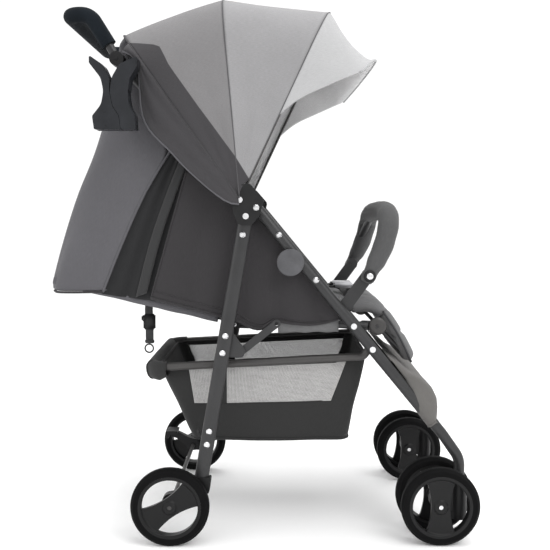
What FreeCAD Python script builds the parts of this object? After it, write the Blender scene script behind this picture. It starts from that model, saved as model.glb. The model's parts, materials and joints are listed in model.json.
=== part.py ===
import FreeCAD, Part
import math
import os
from FreeCAD import Placement, Rotation, Vector

# A light folding pushchair with twin front casters, modelled in millimetres.
# +X points forward, +Z up, +Y to the child's left. The origin lies on the ground
# under the middle of the chair. "near" pieces sit at -Y and "far" pieces at +Y.

doc = FreeCAD.newDocument("Pushchair")
sheet = doc.addObject("Spreadsheet::Sheet", "Dimensions")

DRIVING = {
    "wheel_radius": 72.5,
    "wheel_width": 24.0,
    "rim_radius": 57.95,
    "axle_radius": 4.0,
    "bore_radius": 4.05,
    "hub_radius": 12.0,
    "leg_radius": 10.5,
    "tube_radius": 10.0,
    "tube_wall": 1.2,
    "rail_radius": 7.5,
    "wire_radius": 4.0,
    "rib_radius": 2.5,
    "grip_radius": 14.0,
    "grip_core": 8.0,
    "bumper_core": 8.0,
    "bumper_radius": 20.0,
    "oval_width": 26.0,
    "oval_depth": 13.0,
    "rivet_radius": 2.5,
    "rivet_head": 5.5,
    "rivet_height": 2.2,
    "pin_radius": 3.0,
    "plate_thick": 4.5,
    "link_thick": 5.0,
    "bridge_thick": 22.0,
    "bracket_thick": 18.0,
    "lug_thick": 6.0,
    "pedal_thick": 15.0,
    "disc_radius": 25.0,
    "hinge_radius": 13.0,
    "sleeve_radius": 15.0,
    "cloth_thick": 2.5,
    "pad_thick": 26.0,
    "cup_depth": 34.0,
    "sling_width": 355.0,
    "tread_width": 40.0,
    "seat_width": 330.0,
    "back_width": 314.0,
    "legrest_width": 304.0,
}
for row, (alias, value) in enumerate(DRIVING.items(), start=1):
    sheet.set(f"A{row}", alias)
    sheet.set(f"B{row}", str(value))
    sheet.setAlias(f"B{row}", alias)
doc.recompute()

# Places, in the chair's own frame. A pair is (x, z) in the side view.
FRONT_Y = 190.0            # front legs, handle tubes and caster stems, each side
REAR_LEG_Y = 208.5         # the flat oval rear legs run outside the front legs
REAR_WHEEL_Y = 231.0
TWIN_HALF_GAP = 36.0       # each caster carries two wheels this far from its stem
RAIL_Y = 160.0             # seat rails
HOOP_Y = 165.0             # basket rail
WALL_Y = 170.0             # inner face of the cloth side walls

REAR_AXLE = (-165.0, 72.5)
FRONT_AXLE = (332.0, 72.5)
STEM_X = 373.0
FRONT_RIVET = (-6.0, 620.0)
FOLD_PIVOT = (-25.0, 604.5)
LEG_FOOT = (-112.5, 99.0)
FRONT_LEG_END = (326.0, 216.0)
SEAT_PIVOT = (173.0, 402.0)
HOOP_PIVOT = (208.0, 359.0)
LINK_FOOT = (-36.5, 352.5)
LINK_HEAD = (31.0, 406.0)
BACK_HINGE = (-70.0, 411.0)
LEGREST_PIVOT = (221.0, 397.0)
BUMPER_PIVOT = (201.0, 495.0)
CANOPY_PIVOT = (-36.0, 634.0)
HANDLE_HUB = (-258.0, 888.0)
BACK_SLOPE = math.radians(13.0)

SIDES = {"near": -1.0, "far": 1.0}
nodes = []


def size(alias):
    return float(sheet.get(alias))


def bind(item, prop, alias, extra=""):
    item.setExpression(prop, f"Dimensions.{alias}{extra}")


def finish(item, label):
    item.Label = label
    nodes.append(item)
    return item


def point(place, y):
    return Vector(place[0], y, place[1])


# ---------------------------------------------------------------- round pieces


def cylinder(name, alias, place, y_low, y_high, extra=""):
    """A cylinder along Y whose radius is a cell of the sheet."""
    item = doc.addObject("Part::Cylinder", name)
    bind(item, "Radius", alias, extra)
    item.Height = y_high - y_low
    item.Placement = Placement(point(place, y_low), Rotation(Vector(1, 0, 0), -90))
    return item


def post(name, alias, x, y, z_low, z_high, extra=""):
    """An upright cylinder whose radius is a cell of the sheet."""
    item = doc.addObject("Part::Cylinder", name)
    bind(item, "Radius", alias, extra)
    item.Height = z_high - z_low
    item.Placement = Placement(Vector(x, y, z_low), Rotation())
    return item


def fuse(name, items):
    item = doc.addObject("Part::MultiFuse", name)
    item.Shapes = items
    return item


def group(name, items):
    item = doc.addObject("Part::Compound", name)
    item.Links = items
    return item


def cut(name, base, tool):
    item = doc.addObject("Part::Cut", name)
    item.Base = base
    item.Tool = tool
    return item


def span(side, inner, outer):
    """The low and high Y of a piece that lies between two distances from the middle."""
    low, high = sorted((side * inner, side * outer))
    return low, high


def rivet(name, place, side, inner, outer):
    """A rivet across a tube: a shank with a cone head at each end."""
    low, high = span(side, inner, outer)
    shank = cylinder(name + "_shank", "rivet_radius", place, low, high)
    heads = []
    for end, sign in ((low, -1.0), (high, 1.0)):
        head = doc.addObject("Part::Cone", f"{name}_head")
        bind(head, "Radius1", "rivet_head")
        bind(head, "Radius2", "rivet_head", " * 0.62")
        bind(head, "Height", "rivet_height")
        head.Placement = Placement(point(place, end), Rotation(Vector(1, 0, 0), -90 * sign))
        heads.append(head)
    return fuse(name, [shank] + heads)


# ------------------------------------------------------------------ bent tubes


def rounded_wire(points, bends):
    """Straight runs joined by tangent arcs; bends holds a radius for each inner corner."""
    edges = []
    start = points[0]
    for index in range(1, len(points) - 1):
        corner = points[index]
        before = (points[index - 1] - corner).normalize()
        after = (points[index + 1] - corner).normalize()
        turn = math.pi - before.getAngle(after)
        reach = bends[index - 1] * math.tan(turn / 2)
        first = corner + before * reach
        last = corner + after * reach
        inward = (before + after).normalize()
        middle = corner + inward * (bends[index - 1] * (1 / math.cos(turn / 2) - 1))
        edges.append(Part.LineSegment(start, first).toShape())
        edges.append(Part.Arc(first, middle, last).toShape())
        start = last
    edges.append(Part.LineSegment(start, points[-1]).toShape())
    return Part.Wire(edges)


def sweep(name, points, bends, section):
    """Sweeps a round section along a rounded path."""
    path = doc.addObject("Part::Feature", name + "_path")
    path.Shape = rounded_wire(points, bends)
    along = (points[1] - points[0]).normalize()
    section.Placement = Placement(points[0], Rotation(Vector(0, 0, 1), along))
    item = doc.addObject("Part::Sweep", name)
    item.Sections = [section]
    item.Spine = (path, [f"Edge{n + 1}" for n in range(len(path.Shape.Edges))])
    item.Solid = True
    item.Frenet = False
    return item


def circle(name, alias, extra=""):
    item = doc.addObject("Part::Circle", name)
    bind(item, "Radius", alias, extra)
    return item


def rod(name, points, bends, alias, extra=""):
    return sweep(name, points, bends, circle(name + "_section", alias, extra))


def tube(name, points, bends, alias):
    """A hollow round tube with the sheet's wall."""
    outside = rod(name + "_outside", points, bends, alias)
    inside = rod(name + "_inside", points, bends, alias, " - Dimensions.tube_wall")
    return cut(name, outside, inside)


def oval(name, points, grow):
    """A straight flat oval bar, wide in the side view and shallow across it."""
    section = doc.addObject("Part::Ellipse", name + "_section")
    bind(section, "MajorRadius", "oval_width", f" / 2 + {grow}")
    bind(section, "MinorRadius", "oval_depth", f" / 2 + {grow}")
    along = (points[1] - points[0]).normalize()
    turn = Rotation(Vector(0, 1, 0).cross(along), Vector(0, 1, 0), along, "ZXY")
    section.Placement = Placement(points[0], turn)
    path = doc.addObject("Part::Feature", name + "_path")
    path.Shape = Part.Wire([Part.LineSegment(points[0], points[1]).toShape()])
    item = doc.addObject("Part::Sweep", name)
    item.Sections = [section]
    item.Spine = (path, ["Edge1"])
    item.Solid = True
    return item


# --------------------------------------------------------- sketched flat pieces


def origin_plane(body, role):
    for feature in body.Origin.OriginFeatures:
        if feature.Role == role:
            return feature
    raise ValueError(role)


def side_sketch(body, name, y):
    """A sketch in the side view: its x is the chair's x and its y the chair's z."""
    sketch = body.newObject("Sketcher::SketchObject", name)
    sketch.AttachmentSupport = [(origin_plane(body, "XZ_Plane"), "")]
    sketch.MapMode = "FlatFace"
    sketch.AttachmentOffset = Placement(Vector(0, 0, -y), Rotation())
    return sketch


def outline(sketch, corners):
    """Adds a closed outline of (x, z, corner radius) with tangent arcs at the corners."""
    points = [Vector(x, z, 0) for x, z, _ in corners]
    count = len(points)
    joins = []
    for index in range(count):
        corner = points[index]
        before = (points[index - 1] - corner).normalize()
        after = (points[(index + 1) % count] - corner).normalize()
        radius = corners[index][2]
        turn = math.pi - before.getAngle(after)
        if radius == 0 or turn < 0.01:
            joins.append((corner, None, corner))
            continue
        reach = radius * math.tan(turn / 2)
        middle = corner + (before + after).normalize() * (radius * (1 / math.cos(turn / 2) - 1))
        joins.append((corner + before * reach, middle, corner + after * reach))
    for index in range(count):
        first, middle, last = joins[index]
        if middle is not None:
            sketch.addGeometry(Part.Arc(first, middle, last), False)
        following = joins[(index + 1) % count][0]
        if (following - last).Length > 1e-4:
            sketch.addGeometry(Part.LineSegment(last, following), False)


def new_body(name):
    return doc.addObject("PartDesign::Body", name)


def add_pad(body, name, corners, y_low, alias):
    """Pads an outline from y_low towards +Y by a length from the sheet."""
    sketch = side_sketch(body, name + "_sketch", y_low)
    outline(sketch, corners)
    pad = body.newObject("PartDesign::Pad", name)
    pad.Profile = sketch
    pad.Reversed = True
    bind(pad, "Length", alias)
    return pad


def plate(name, corners, side, inner, alias):
    """A flat piece whose inner face is the given distance from the middle plane."""
    body = new_body(name)
    low, _ = span(side, inner, inner + size(alias))
    add_pad(body, name + "_pad", corners, low, alias)
    return body


def slot(start, end, radius):
    """The outline of a straight bar with round ends."""
    along = Vector(end[0] - start[0], end[1] - start[1], 0).normalize() * radius
    across = Vector(-along.y, along.x, 0)
    corners = []
    for place, sign in ((start, -1.0), (end, 1.0)):
        for lean in (sign, -sign):
            corner = Vector(place[0], place[1], 0) + along * sign - across * lean
            corners.append((corner.x, corner.y, radius * 0.98))
    return corners


# ----------------------------------------------------------------- cloth shells


def strip_wire(outer, inner):
    """Closes two open runs of edges, an outer and an inner skin, into one ring."""
    first = Part.LineSegment(outer.Vertexes[-1].Point, inner.Vertexes[-1].Point).toShape()
    last = Part.LineSegment(inner.Vertexes[0].Point, outer.Vertexes[0].Point).toShape()
    back = [edge for edge in reversed(inner.Edges)]
    return Part.Wire(outer.Edges + [first] + back + [last])


def loft(name, wires):
    sections = []
    for index, wire in enumerate(wires):
        section = doc.addObject("Part::Feature", f"{name}_section{index}")
        section.Shape = wire
        sections.append(section)
    item = doc.addObject("Part::Loft", name)
    item.Sections = sections
    item.Solid = True
    item.Ruled = True
    return item


CROWN_SLOPE = 0.26         # how fast the canopy's roof falls away to each side
CROWN_BEND = 400.0
CROWN_LIFT = CROWN_BEND * (math.hypot(1.0, CROWN_SLOPE) - 1.0)


def crowned(foot, top, half_width):
    """The corners of a canopy arch as (reach from the pivot, y), with a slightly raised middle."""
    ridge = top + CROWN_LIFT
    eaves = ridge - CROWN_SLOPE * half_width
    return [(foot, -half_width), (eaves, -half_width), (ridge, 0.0), (eaves, half_width), (foot, half_width)]


def arch_section(angle, top, foot, half_width, corner):
    """A thin arch about the canopy pivot, in the plane that leans at the angle."""
    lean = math.radians(angle)

    def place(radius, y):
        x = CANOPY_PIVOT[0] + radius * math.cos(lean)
        return Vector(x, y, CANOPY_PIVOT[1] + radius * math.sin(lean))

    def skin(inset):
        corners = crowned(foot, top - inset, half_width - inset)
        bends = [corner - inset, CROWN_BEND - inset, corner - inset]
        return rounded_wire([place(reach, y) for reach, y in corners], bends)

    return strip_wire(skin(0.0), skin(size("cloth_thick")))


# ------------------------------------------------------------------ front frame


def line_point(start, end, distance):
    """The point at a distance from start towards end, in the side view."""
    along = Vector(end[0] - start[0], end[1] - start[1], 0).normalize()
    return (start[0] + along.x * distance, start[1] + along.y * distance)


HOUSING_TOP = (-22.0, 639.5)
HUB_END = line_point(HANDLE_HUB, HOUSING_TOP, size("hinge_radius") + 0.3)
LEG_RIVETS = {"upper": (35.0, 570.0), "middle": (103.0, 487.5)}


def drilled(name, piece, places, side):
    """Drills rivet holes across a tube."""
    drills = []
    for index, place in enumerate(places):
        low, high = span(side, 150.0, 240.0)
        drills.append(cylinder(f"{name}_drill{index}", "rivet_radius", place, low, high, " + 0.05"))
    return cut(name + "_drilled", piece, fuse(name + "_drills", drills))


def front_leg(word, side):
    y = side * FRONT_Y
    points = [point(HOUSING_TOP, y), point(FRONT_LEG_END, y)]
    piece = tube(f"leg_tube_{word}", points, [], "leg_radius")
    places = [FRONT_RIVET, LEG_RIVETS["upper"], LEG_RIVETS["middle"], SEAT_PIVOT, HOOP_PIVOT]
    finish(drilled(f"leg_tube_{word}", piece, places, side), f"front_leg_{word}")


def handle_tube(word, side):
    y = side * FRONT_Y
    top = line_point(HOUSING_TOP, HUB_END, 2.0)
    points = [point(top, y), point(HUB_END, y)]
    finish(tube(f"handle_tube_{word}", points, [], "tube_radius"), f"handle_tube_{word}")


def caster_arm(word, side):
    """The curved tube that carries the front leg down to the upright caster stem."""
    y = side * FRONT_Y
    top = line_point(FRONT_LEG_END, HOOP_PIVOT, -0.4)
    knee = line_point(HOOP_PIVOT, FRONT_LEG_END, 208.0)
    shoulder = (STEM_X, 152.0)
    points = [point(top, y), point(knee, y), point(shoulder, y), Vector(STEM_X, y, 44.0)]
    finish(tube(f"caster_arm_{word}", points, [60.0, 45.0], "tube_radius"), f"caster_arm_{word}")


def top_housing(word, side):
    """The moulded joint that holds both tubes and the rear leg's pivot."""
    cheek = [(-50, 636, 10), (-42, 660, 10), (-18, 664, 10), (8, 634, 10), (0, 606, 12), (-14, 588, 12),
             (-38, 588, 12), (-48, 610, 12)]
    block = [(-46, 630, 4), (-42, 656, 8), (-20, 660, 8), (4, 632, 6), (-3, 625, 3)]
    inner = plate(f"housing_cheek_in_{word}", cheek, side, 174.0, "plate_thick")
    outer = plate(f"housing_cheek_out_{word}", cheek, side, 215.6, "plate_thick")
    bridge = plate(f"housing_bridge_{word}", block, side, 178.4, "bridge_thick")
    low, high = span(side, 200.0, 216.0)
    spacer = cylinder(f"housing_spacer_{word}", "rivet_head", FRONT_RIVET, low, high)
    shell = fuse(f"housing_shell_{word}", [inner, outer, bridge, spacer])
    y = side * FRONT_Y
    bores = []
    for name, end in (("leg", FRONT_LEG_END), ("handle", HANDLE_HUB)):
        path = [point(HOUSING_TOP, y), point(line_point(HOUSING_TOP, end, 90.0), y)]
        bores.append(rod(f"housing_{name}_bore_{word}", path, [], "leg_radius", " + 0.15"))
    joint = doc.addObject("Part::Sphere", f"housing_knuckle_{word}")
    bind(joint, "Radius", "leg_radius", " + 0.15")
    joint.Placement = Placement(point(HOUSING_TOP, y), Rotation())
    drills = []
    for name, place, alias, inside in (
        ("rivet", FRONT_RIVET, "rivet_radius", 150.0),
        ("fold", FOLD_PIVOT, "pin_radius", 150.0),
        ("canopy", CANOPY_PIVOT, "pin_radius", 212.0),
    ):
        low, high = span(side, inside, 240.0)
        drills.append(cylinder(f"housing_{name}_drill_{word}", alias, place, low, high, " + 0.05"))
    hollow = fuse(f"housing_hollow_{word}", bores + [joint] + drills)
    return cut(f"top_housing_{word}", shell, hollow)


def side_caps():
    """A round cap on the outside of each front leg, below the top housing."""
    caps = []
    for word, side in SIDES.items():
        low, high = span(side, 202.0, 208.0)
        disc = cylinder(f"side_cap_disc_{word}", "disc_radius", (56.0, 520.0), low, high)
        rounded = doc.addObject("Part::Fillet", f"side_cap_round_{word}")
        rounded.Base = disc
        caps.append((rounded, side))
    doc.recompute()
    for rounded, side in caps:
        rim = [n + 1 for n, edge in enumerate(rounded.Base.Shape.Edges)
               if edge.Closed and abs(edge.CenterOfMass.y - side * 208.0) < 0.01]
        rounded.Edges = [(index, 2.4, 2.4) for index in rim]
    finish(group("side_caps", [rounded for rounded, _ in caps]), "side_caps")


def frame_rivets():
    rivets = []
    for word, side in SIDES.items():
        rivets.append(rivet(f"housing_rivet_{word}", FRONT_RIVET, side, 171.5, 222.4))
        for name, place in LEG_RIVETS.items():
            rivets.append(rivet(f"leg_rivet_{name}_{word}", place, side, 177.0, 203.0))
    finish(group("frame_rivets", rivets), "frame_rivets")


def pivot_pins():
    """The pins that the rear legs, the seat, the basket rail and the canopy ribs turn on."""
    pins = []
    for word, side in SIDES.items():
        for name, place, inner, outer in (
            ("fold", FOLD_PIVOT, 173.4, 222.0),
            ("canopy", CANOPY_PIVOT, 201.2, 222.0),
        ):
            low, high = span(side, inner, outer)
            shank = cylinder(f"{name}_pin_{word}", "pin_radius", place, low, high)
            head_low, head_high = span(side, outer - 1.6, outer + 0.8)
            head = cylinder(f"{name}_pin_head_{word}", "rivet_head", place, head_low, head_high)
            pins.append(fuse(f"{name}_pin_whole_{word}", [shank, head]))
        for name, place, inner in (("seat", SEAT_PIVOT, 151.0), ("hoop", HOOP_PIVOT, 156.0)):
            low, high = span(side, inner, 203.0)
            shank = cylinder(f"{name}_pin_{word}", "rivet_radius", place, low, high)
            head_low, head_high = span(side, 201.2, 204.4)
            head = cylinder(f"{name}_pin_head_{word}", "rivet_head", place, head_low, head_high)
            pins.append(fuse(f"{name}_pin_whole_{word}", [shank, head]))
    finish(group("pivot_pins", pins), "pivot_pins")


def bumper_sockets():
    """A flat arm inside each front leg that the bumper bar turns on."""
    sockets = []
    for word, side in SIDES.items():
        edge = slot((158.0, 436.0), BUMPER_PIVOT, 12.0)
        arm = plate(f"bumper_arm_{word}", edge, side, 174.6, "plate_thick")
        low, high = span(side, 172.0, 201.0)
        pin = cylinder(f"bumper_pin_{word}", "pin_radius", BUMPER_PIVOT, low, high)
        sockets.append(fuse(f"bumper_socket_{word}", [arm, pin]))
    finish(group("bumper_sockets", sockets), "bumper_sockets")


def handle_hubs():
    """The fixed half of each toothed handle joint, with its pin."""
    hubs = []
    for word, side in SIDES.items():
        low, high = span(side, 190.4, 204.5)
        disc = cylinder(f"handle_hub_disc_{word}", "hinge_radius", HANDLE_HUB, low, high)
        low, high = span(side, 175.6, 206.0)
        pin = cylinder(f"handle_hub_pin_{word}", "pin_radius", HANDLE_HUB, low, high)
        hubs.append(fuse(f"handle_hub_{word}", [disc, pin]))
    finish(group("handle_hubs", hubs), "handle_hubs")


def cup_holder():
    """A clip-on cup holder: a collar on the near handle tube and two curved jaws."""
    side = SIDES["near"]
    y_out = 217.0
    grip_at = line_point(HANDLE_HUB, HOUSING_TOP, 27.0)
    ends = [line_point(grip_at, HOUSING_TOP, -7.0), line_point(grip_at, HOUSING_TOP, 9.0)]
    path = [point(end, side * FRONT_Y) for end in ends]
    collar = rod("cup_collar", path, [], "sleeve_radius")
    bore = rod("cup_collar_bore", path, [], "tube_radius", " + 0.1")
    low, high = span(side, 202.0, y_out + 2.0)
    neck = cylinder("cup_neck", "disc_radius", grip_at, low, high, " * 0.3")
    front = [(-212, 884, 3), (-214, 865, 4), (-226, 845, 10), (-230, 822, 30), (-228, 800, 20),
             (-218, 781, 5), (-217, 757, 2), (-243, 757, 2), (-246, 781, 12), (-257, 798, 20),
             (-261.6, 823, 40), (-257, 848, 20), (-244, 870, 12)]
    jaw = plate("cup_front_jaw", front, side, y_out, "cup_depth")
    finish(cut("cup_holder_clamp", fuse("cup_clamp_solid", [collar, neck, jaw]), bore), "cup_holder_clamp")
    rear = [(-297, 885, 2), (-297, 872, 5), (-277, 846, 25), (-272.5, 823, 40), (-277, 800, 25),
            (-293, 780, 5), (-290, 757, 2), (-243.6, 757, 1), (-246.6, 780.6, 10), (-257.6, 797.6, 20),
            (-262.2, 823, 40), (-262, 846, 15), (-272, 868, 15)]
    finish(plate("cup_holder_jaw", rear, side, y_out, "cup_depth"), "cup_holder_jaw")


def foot_sling():
    """The stiffened cloth that bows forward between the lower front legs."""
    front = [(236, 343, 2), (256, 334, 20), (276, 315, 30), (304, 302, 20), (327, 280, 20), (333, 252, 15),
             (329, 216, 2), (326.4, 216, 0.5), (330.4, 252, 12.5), (324.6, 278.4, 17.5),
             (302.6, 299.8, 22.5), (274, 313, 32.5), (254.6, 331.6, 22.5), (236, 340.4, 1)]
    body = new_body("foot_sling")
    add_pad(body, "foot_sling_pad", front, -177.5, "sling_width")
    finish(body, "foot_sling")


# ------------------------------------------------------------------- rear frame

# Rivets down each rear leg: one at the top, two through the gusset, two in the foot.
LEG_HOLES = [line_point(FOLD_PIVOT, LEG_FOOT, reach) for reach in (34.0, 222.0, 254.0, 402.0, 427.0)]


def rear_leg(word, side):
    y = side * REAR_LEG_Y
    top = line_point(FOLD_PIVOT, LEG_FOOT, -2.0)
    bar = oval(f"rear_leg_bar_{word}", [point(LEG_FOOT, y), point(top, y)], 0.0)
    low, high = span(side, REAR_LEG_Y - 6.4, REAR_LEG_Y + 6.4)
    eye = cylinder(f"rear_leg_eye_{word}", "hinge_radius", FOLD_PIVOT, low, high, " - 0.2")
    low, high = span(side, 190.0, 230.0)
    hole = cylinder(f"rear_leg_hole_{word}", "pin_radius", FOLD_PIVOT, low, high, " + 0.05")
    holes = [hole]
    for index, place in enumerate(LEG_HOLES):
        holes.append(cylinder(f"rear_leg_drill{index}_{word}", "rivet_radius", place, low, high, " + 0.05"))
    solid = fuse(f"rear_leg_solid_{word}", [bar, eye])
    finish(cut(f"rear_leg_{word}", solid, fuse(f"rear_leg_holes_{word}", holes)), f"rear_leg_{word}")


def rear_leg_rivets():
    rivets = []
    for word, side in SIDES.items():
        for index, place in enumerate(LEG_HOLES):
            inner = 194.0 if index in (1, 2) else 200.0
            rivets.append(rivet(f"rear_rivet{index}_{word}", place, side, inner, 217.0))
    finish(group("rear_leg_rivets", rivets), "rear_leg_rivets")


def rear_bracket(word, side):
    """The moulded foot that holds the leg and carries the rear axle."""
    edge = [(-127, 122, 3), (-90, 122, 3), (-94, 94, 8), (-128, 68, 20), (-150, 56, 16), (-182, 56, 15.5),
            (-182, 89, 15.5), (-150, 94, 12)]
    solid = plate(f"rear_bracket_solid_{word}", edge, side, 199.2, "bracket_thick")
    y = side * REAR_LEG_Y
    foot = line_point(LEG_FOOT, FOLD_PIVOT, -0.5)
    pocket_end = line_point(foot, FOLD_PIVOT, 60.0)
    pocket = oval(f"rear_bracket_pocket_{word}", [point(foot, y), point(pocket_end, y)], 0.2)
    low, high = span(side, 190.0, 226.0)
    bore = cylinder(f"rear_bracket_bore_{word}", "bore_radius", REAR_AXLE, low, high)
    hollow = fuse(f"rear_bracket_hollow_{word}", [pocket, bore])
    return cut(f"rear_bracket_{word}", solid, hollow)


def rear_axle():
    rod_piece = cylinder("rear_axle", "axle_radius", REAR_AXLE, -REAR_WHEEL_Y - 9.0, REAR_WHEEL_Y + 9.0)
    finish(rod_piece, "rear_axle")


def gussets():
    """A triangular plate inside each rear leg, with the stud that the fold link turns on."""
    gusset_list = []
    upper, lower = LEG_HOLES[1], LEG_HOLES[2]
    corners = [(upper[0] - 8, upper[1] + 12, 6), (upper[0] + 9, upper[1] + 9, 6),
               (LINK_FOOT[0] + 9, LINK_FOOT[1] + 6, 7), (LINK_FOOT[0] + 6, LINK_FOOT[1] - 9, 7),
               (lower[0] - 11, lower[1] - 9, 6)]
    for word, side in SIDES.items():
        web = plate(f"gusset_web_{word}", corners, side, 196.6, "link_thick")
        low, high = span(side, 187.4, 198.0)
        stud = cylinder(f"gusset_stud_{word}", "pin_radius", LINK_FOOT, low, high)
        low, high = span(side, 190.0, 205.0)
        drills = [cylinder(f"gusset_drill{index}_{word}", "rivet_radius", place, low, high, " + 0.05")
                  for index, place in enumerate((upper, lower))]
        whole = fuse(f"gusset_solid_{word}", [web, stud])
        gusset_list.append(cut(f"gusset_{word}", whole, fuse(f"gusset_drills_{word}", drills)))
    finish(group("gussets", gusset_list), "gussets")


def fold_links():
    """The two short links that lift the seat as the rear legs swing forward."""
    links = []
    for word, side in SIDES.items():
        bar = plate(f"fold_link_bar_{word}", slot(LINK_FOOT, LINK_HEAD, 7.0), side, 190.4, "link_thick")
        low, high = span(side, 180.0, 200.0)
        foot = cylinder(f"fold_link_foot_{word}", "pin_radius", LINK_FOOT, low, high, " + 0.05")
        head = cylinder(f"fold_link_head_{word}", "pin_radius", LINK_HEAD, low, high, " + 1")
        links.append(cut(f"fold_link_{word}", bar, fuse(f"fold_link_holes_{word}", [foot, head])))
    finish(group("fold_links", links), "fold_links")


def brake_pedal():
    """A lever on the axle, inside the far bracket, that is pressed down at its rear end."""
    side = SIDES["far"]
    arm = [(-152, 62, 8), (-152, 84, 8), (-176, 92, 12), (-200, 104, 8), (-218, 104, 6), (-222, 94, 5),
           (-204, 90, 12), (-180, 70, 12), (-176, 60, 8)]
    lever = plate("brake_lever", arm, side, 180.0, "pedal_thick")
    pad_edge = [(-198, 110, 2), (-224, 110, 3), (-228, 94, 3), (-219, 92, 2), (-219, 101.5, 2),
                (-200, 102, 2)]
    low = side * 182.0 - size("tread_width") / 2
    tread = new_body("brake_tread")
    add_pad(tread, "brake_tread_pad", pad_edge, low, "tread_width")
    low, high = span(side, 170.0, 199.0)
    bore = cylinder("brake_bore", "bore_radius", REAR_AXLE, low, high)
    whole = fuse("brake_solid", [lever, tread])
    finish(cut("brake_pedal", whole, bore), "brake_pedal")


# ----------------------------------------------------------------------- wheels


def turned(name, profile, hub, y, mirrored):
    """A body turned about the wheel's own axle from a profile of (radius, across)."""
    body = new_body(name)
    sketch = body.newObject("Sketcher::SketchObject", name + "_profile")
    sketch.AttachmentSupport = [(origin_plane(body, "XY_Plane"), "")]
    sketch.MapMode = "FlatFace"
    flip = -1.0 if mirrored else 1.0
    corners = [(radius, across * flip, bend) for radius, across, bend in profile]
    outline(sketch, corners)
    turn = body.newObject("PartDesign::Revolution", name + "_turn")
    turn.Profile = sketch
    turn.ReferenceAxis = (sketch, ["V_Axis"])
    turn.Angle = 360
    body.Placement = Placement(Vector(hub[0], y, hub[1]), Rotation())
    return body


def tyre(name, hub, y):
    inner, outer, half = size("rim_radius") + 0.05, size("wheel_radius"), size("wheel_width") / 2
    profile = [(inner, -half + 1, 0), (outer - 6, -half, 3), (outer, -half + 6, 5), (outer, half - 6, 5),
               (outer - 6, half, 3), (inner, half - 1, 0)]
    finish(turned(name, profile, hub, y, False), name)


def rim(name, hub, y, side, opening_angle):
    """A dished disc with two curved openings, opposite each other."""
    bore, edge, half = size("bore_radius"), size("rim_radius"), size("wheel_width") / 2
    hub_radius = size("hub_radius")
    profile = [(bore, -half, 0), (hub_radius, -half, 1.5), (hub_radius, 0, 3), (edge - 6, 0, 3),
               (edge - 5, -half + 2, 0), (edge, -half + 2, 0), (edge, half - 1, 0), (edge - 5, half - 1, 2),
               (edge - 8, 7, 3), (hub_radius + 2, 7, 3), (hub_radius - 1, half - 2, 1.5),
               (bore, half - 2, 0)]
    body = turned(name, profile, hub, y, side < 0)
    wheel = size("wheel_radius")
    half_chord, near_rise, end_rise = 0.62 * wheel, 0.24 * wheel, 0.35 * wheel
    far_rise = math.hypot(half_chord, end_rise)
    sketch = body.newObject("Sketcher::SketchObject", name + "_opening")
    sketch.AttachmentSupport = [(origin_plane(body, "XZ_Plane"), "")]
    sketch.MapMode = "FlatFace"
    left, right = Vector(-half_chord, end_rise, 0), Vector(half_chord, end_rise, 0)
    sketch.addGeometry(Part.Arc(left, Vector(0, near_rise, 0), right), False)
    sketch.addGeometry(Part.Arc(left, Vector(0, far_rise, 0), right), False)
    pocket = body.newObject("PartDesign::Pocket", name + "_pocket")
    pocket.Profile = sketch
    pocket.Type = "ThroughAll"
    pocket.Midplane = True
    pattern = body.newObject("PartDesign::PolarPattern", name + "_openings")
    pattern.Originals = [pocket]
    pattern.Axis = (origin_plane(body, "Y_Axis"), "")
    pattern.Angle = 360
    pattern.Occurrences = 2
    body.Tip = pattern
    body.Placement = Placement(Vector(hub[0], y, hub[1]), Rotation(Vector(0, 1, 0), 90.0 - opening_angle))
    finish(body, name)


def wheels():
    for word, side in SIDES.items():
        tyre(f"rear_tyre_{word}", REAR_AXLE, side * REAR_WHEEL_Y)
        rim(f"rear_rim_{word}", REAR_AXLE, side * REAR_WHEEL_Y, side, -57.0)
        for place, step in (("outer", TWIN_HALF_GAP), ("inner", -TWIN_HALF_GAP)):
            y = side * (FRONT_Y + step)
            facing = side if place == "outer" else -side
            tyre(f"front_tyre_{word}_{place}", FRONT_AXLE, y)
            rim(f"front_rim_{word}_{place}", FRONT_AXLE, y, facing, 0.0)


def caster(word, side):
    """The swivelling block between the twin wheels, and its axle."""
    y = side * FRONT_Y
    sleeve = post(f"caster_sleeve_{word}", "sleeve_radius", STEM_X, y, 38.0, 112.0)
    edge = [(STEM_X, 96, 0), (STEM_X, 46, 0), (340, 58, 12), (318, 60, 12.3), (318, 85, 12.3), (345, 92, 15)]
    web = new_body(f"caster_web_{word}")
    add_pad(web, f"caster_web_pad_{word}", edge, y - 9.0, "bracket_thick")
    stem_hole = post(f"caster_hole_{word}", "tube_radius", STEM_X, y, 43.0, 120.0, " + 0.05")
    axle_hole = cylinder(f"caster_axle_hole_{word}", "bore_radius", FRONT_AXLE, y - 20, y + 20)
    whole = fuse(f"caster_solid_{word}", [sleeve, web])
    holes = fuse(f"caster_holes_{word}", [stem_hole, axle_hole])
    finish(cut(f"caster_body_{word}", whole, holes), f"caster_body_{word}")
    reach = TWIN_HALF_GAP + 9.0
    axle = cylinder(f"front_axle_{word}", "axle_radius", FRONT_AXLE, y - reach, y + reach)
    finish(axle, f"front_axle_{word}")


# ------------------------------------------------------- seat, back and legrest


def along_back(distance, height):
    """A place measured along the reclined backrest from its hinge, and square to it."""
    return (BACK_HINGE[0] - math.cos(BACK_SLOPE) * distance + math.sin(BACK_SLOPE) * height,
            BACK_HINGE[1] + math.sin(BACK_SLOPE) * distance + math.cos(BACK_SLOPE) * height)


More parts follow.
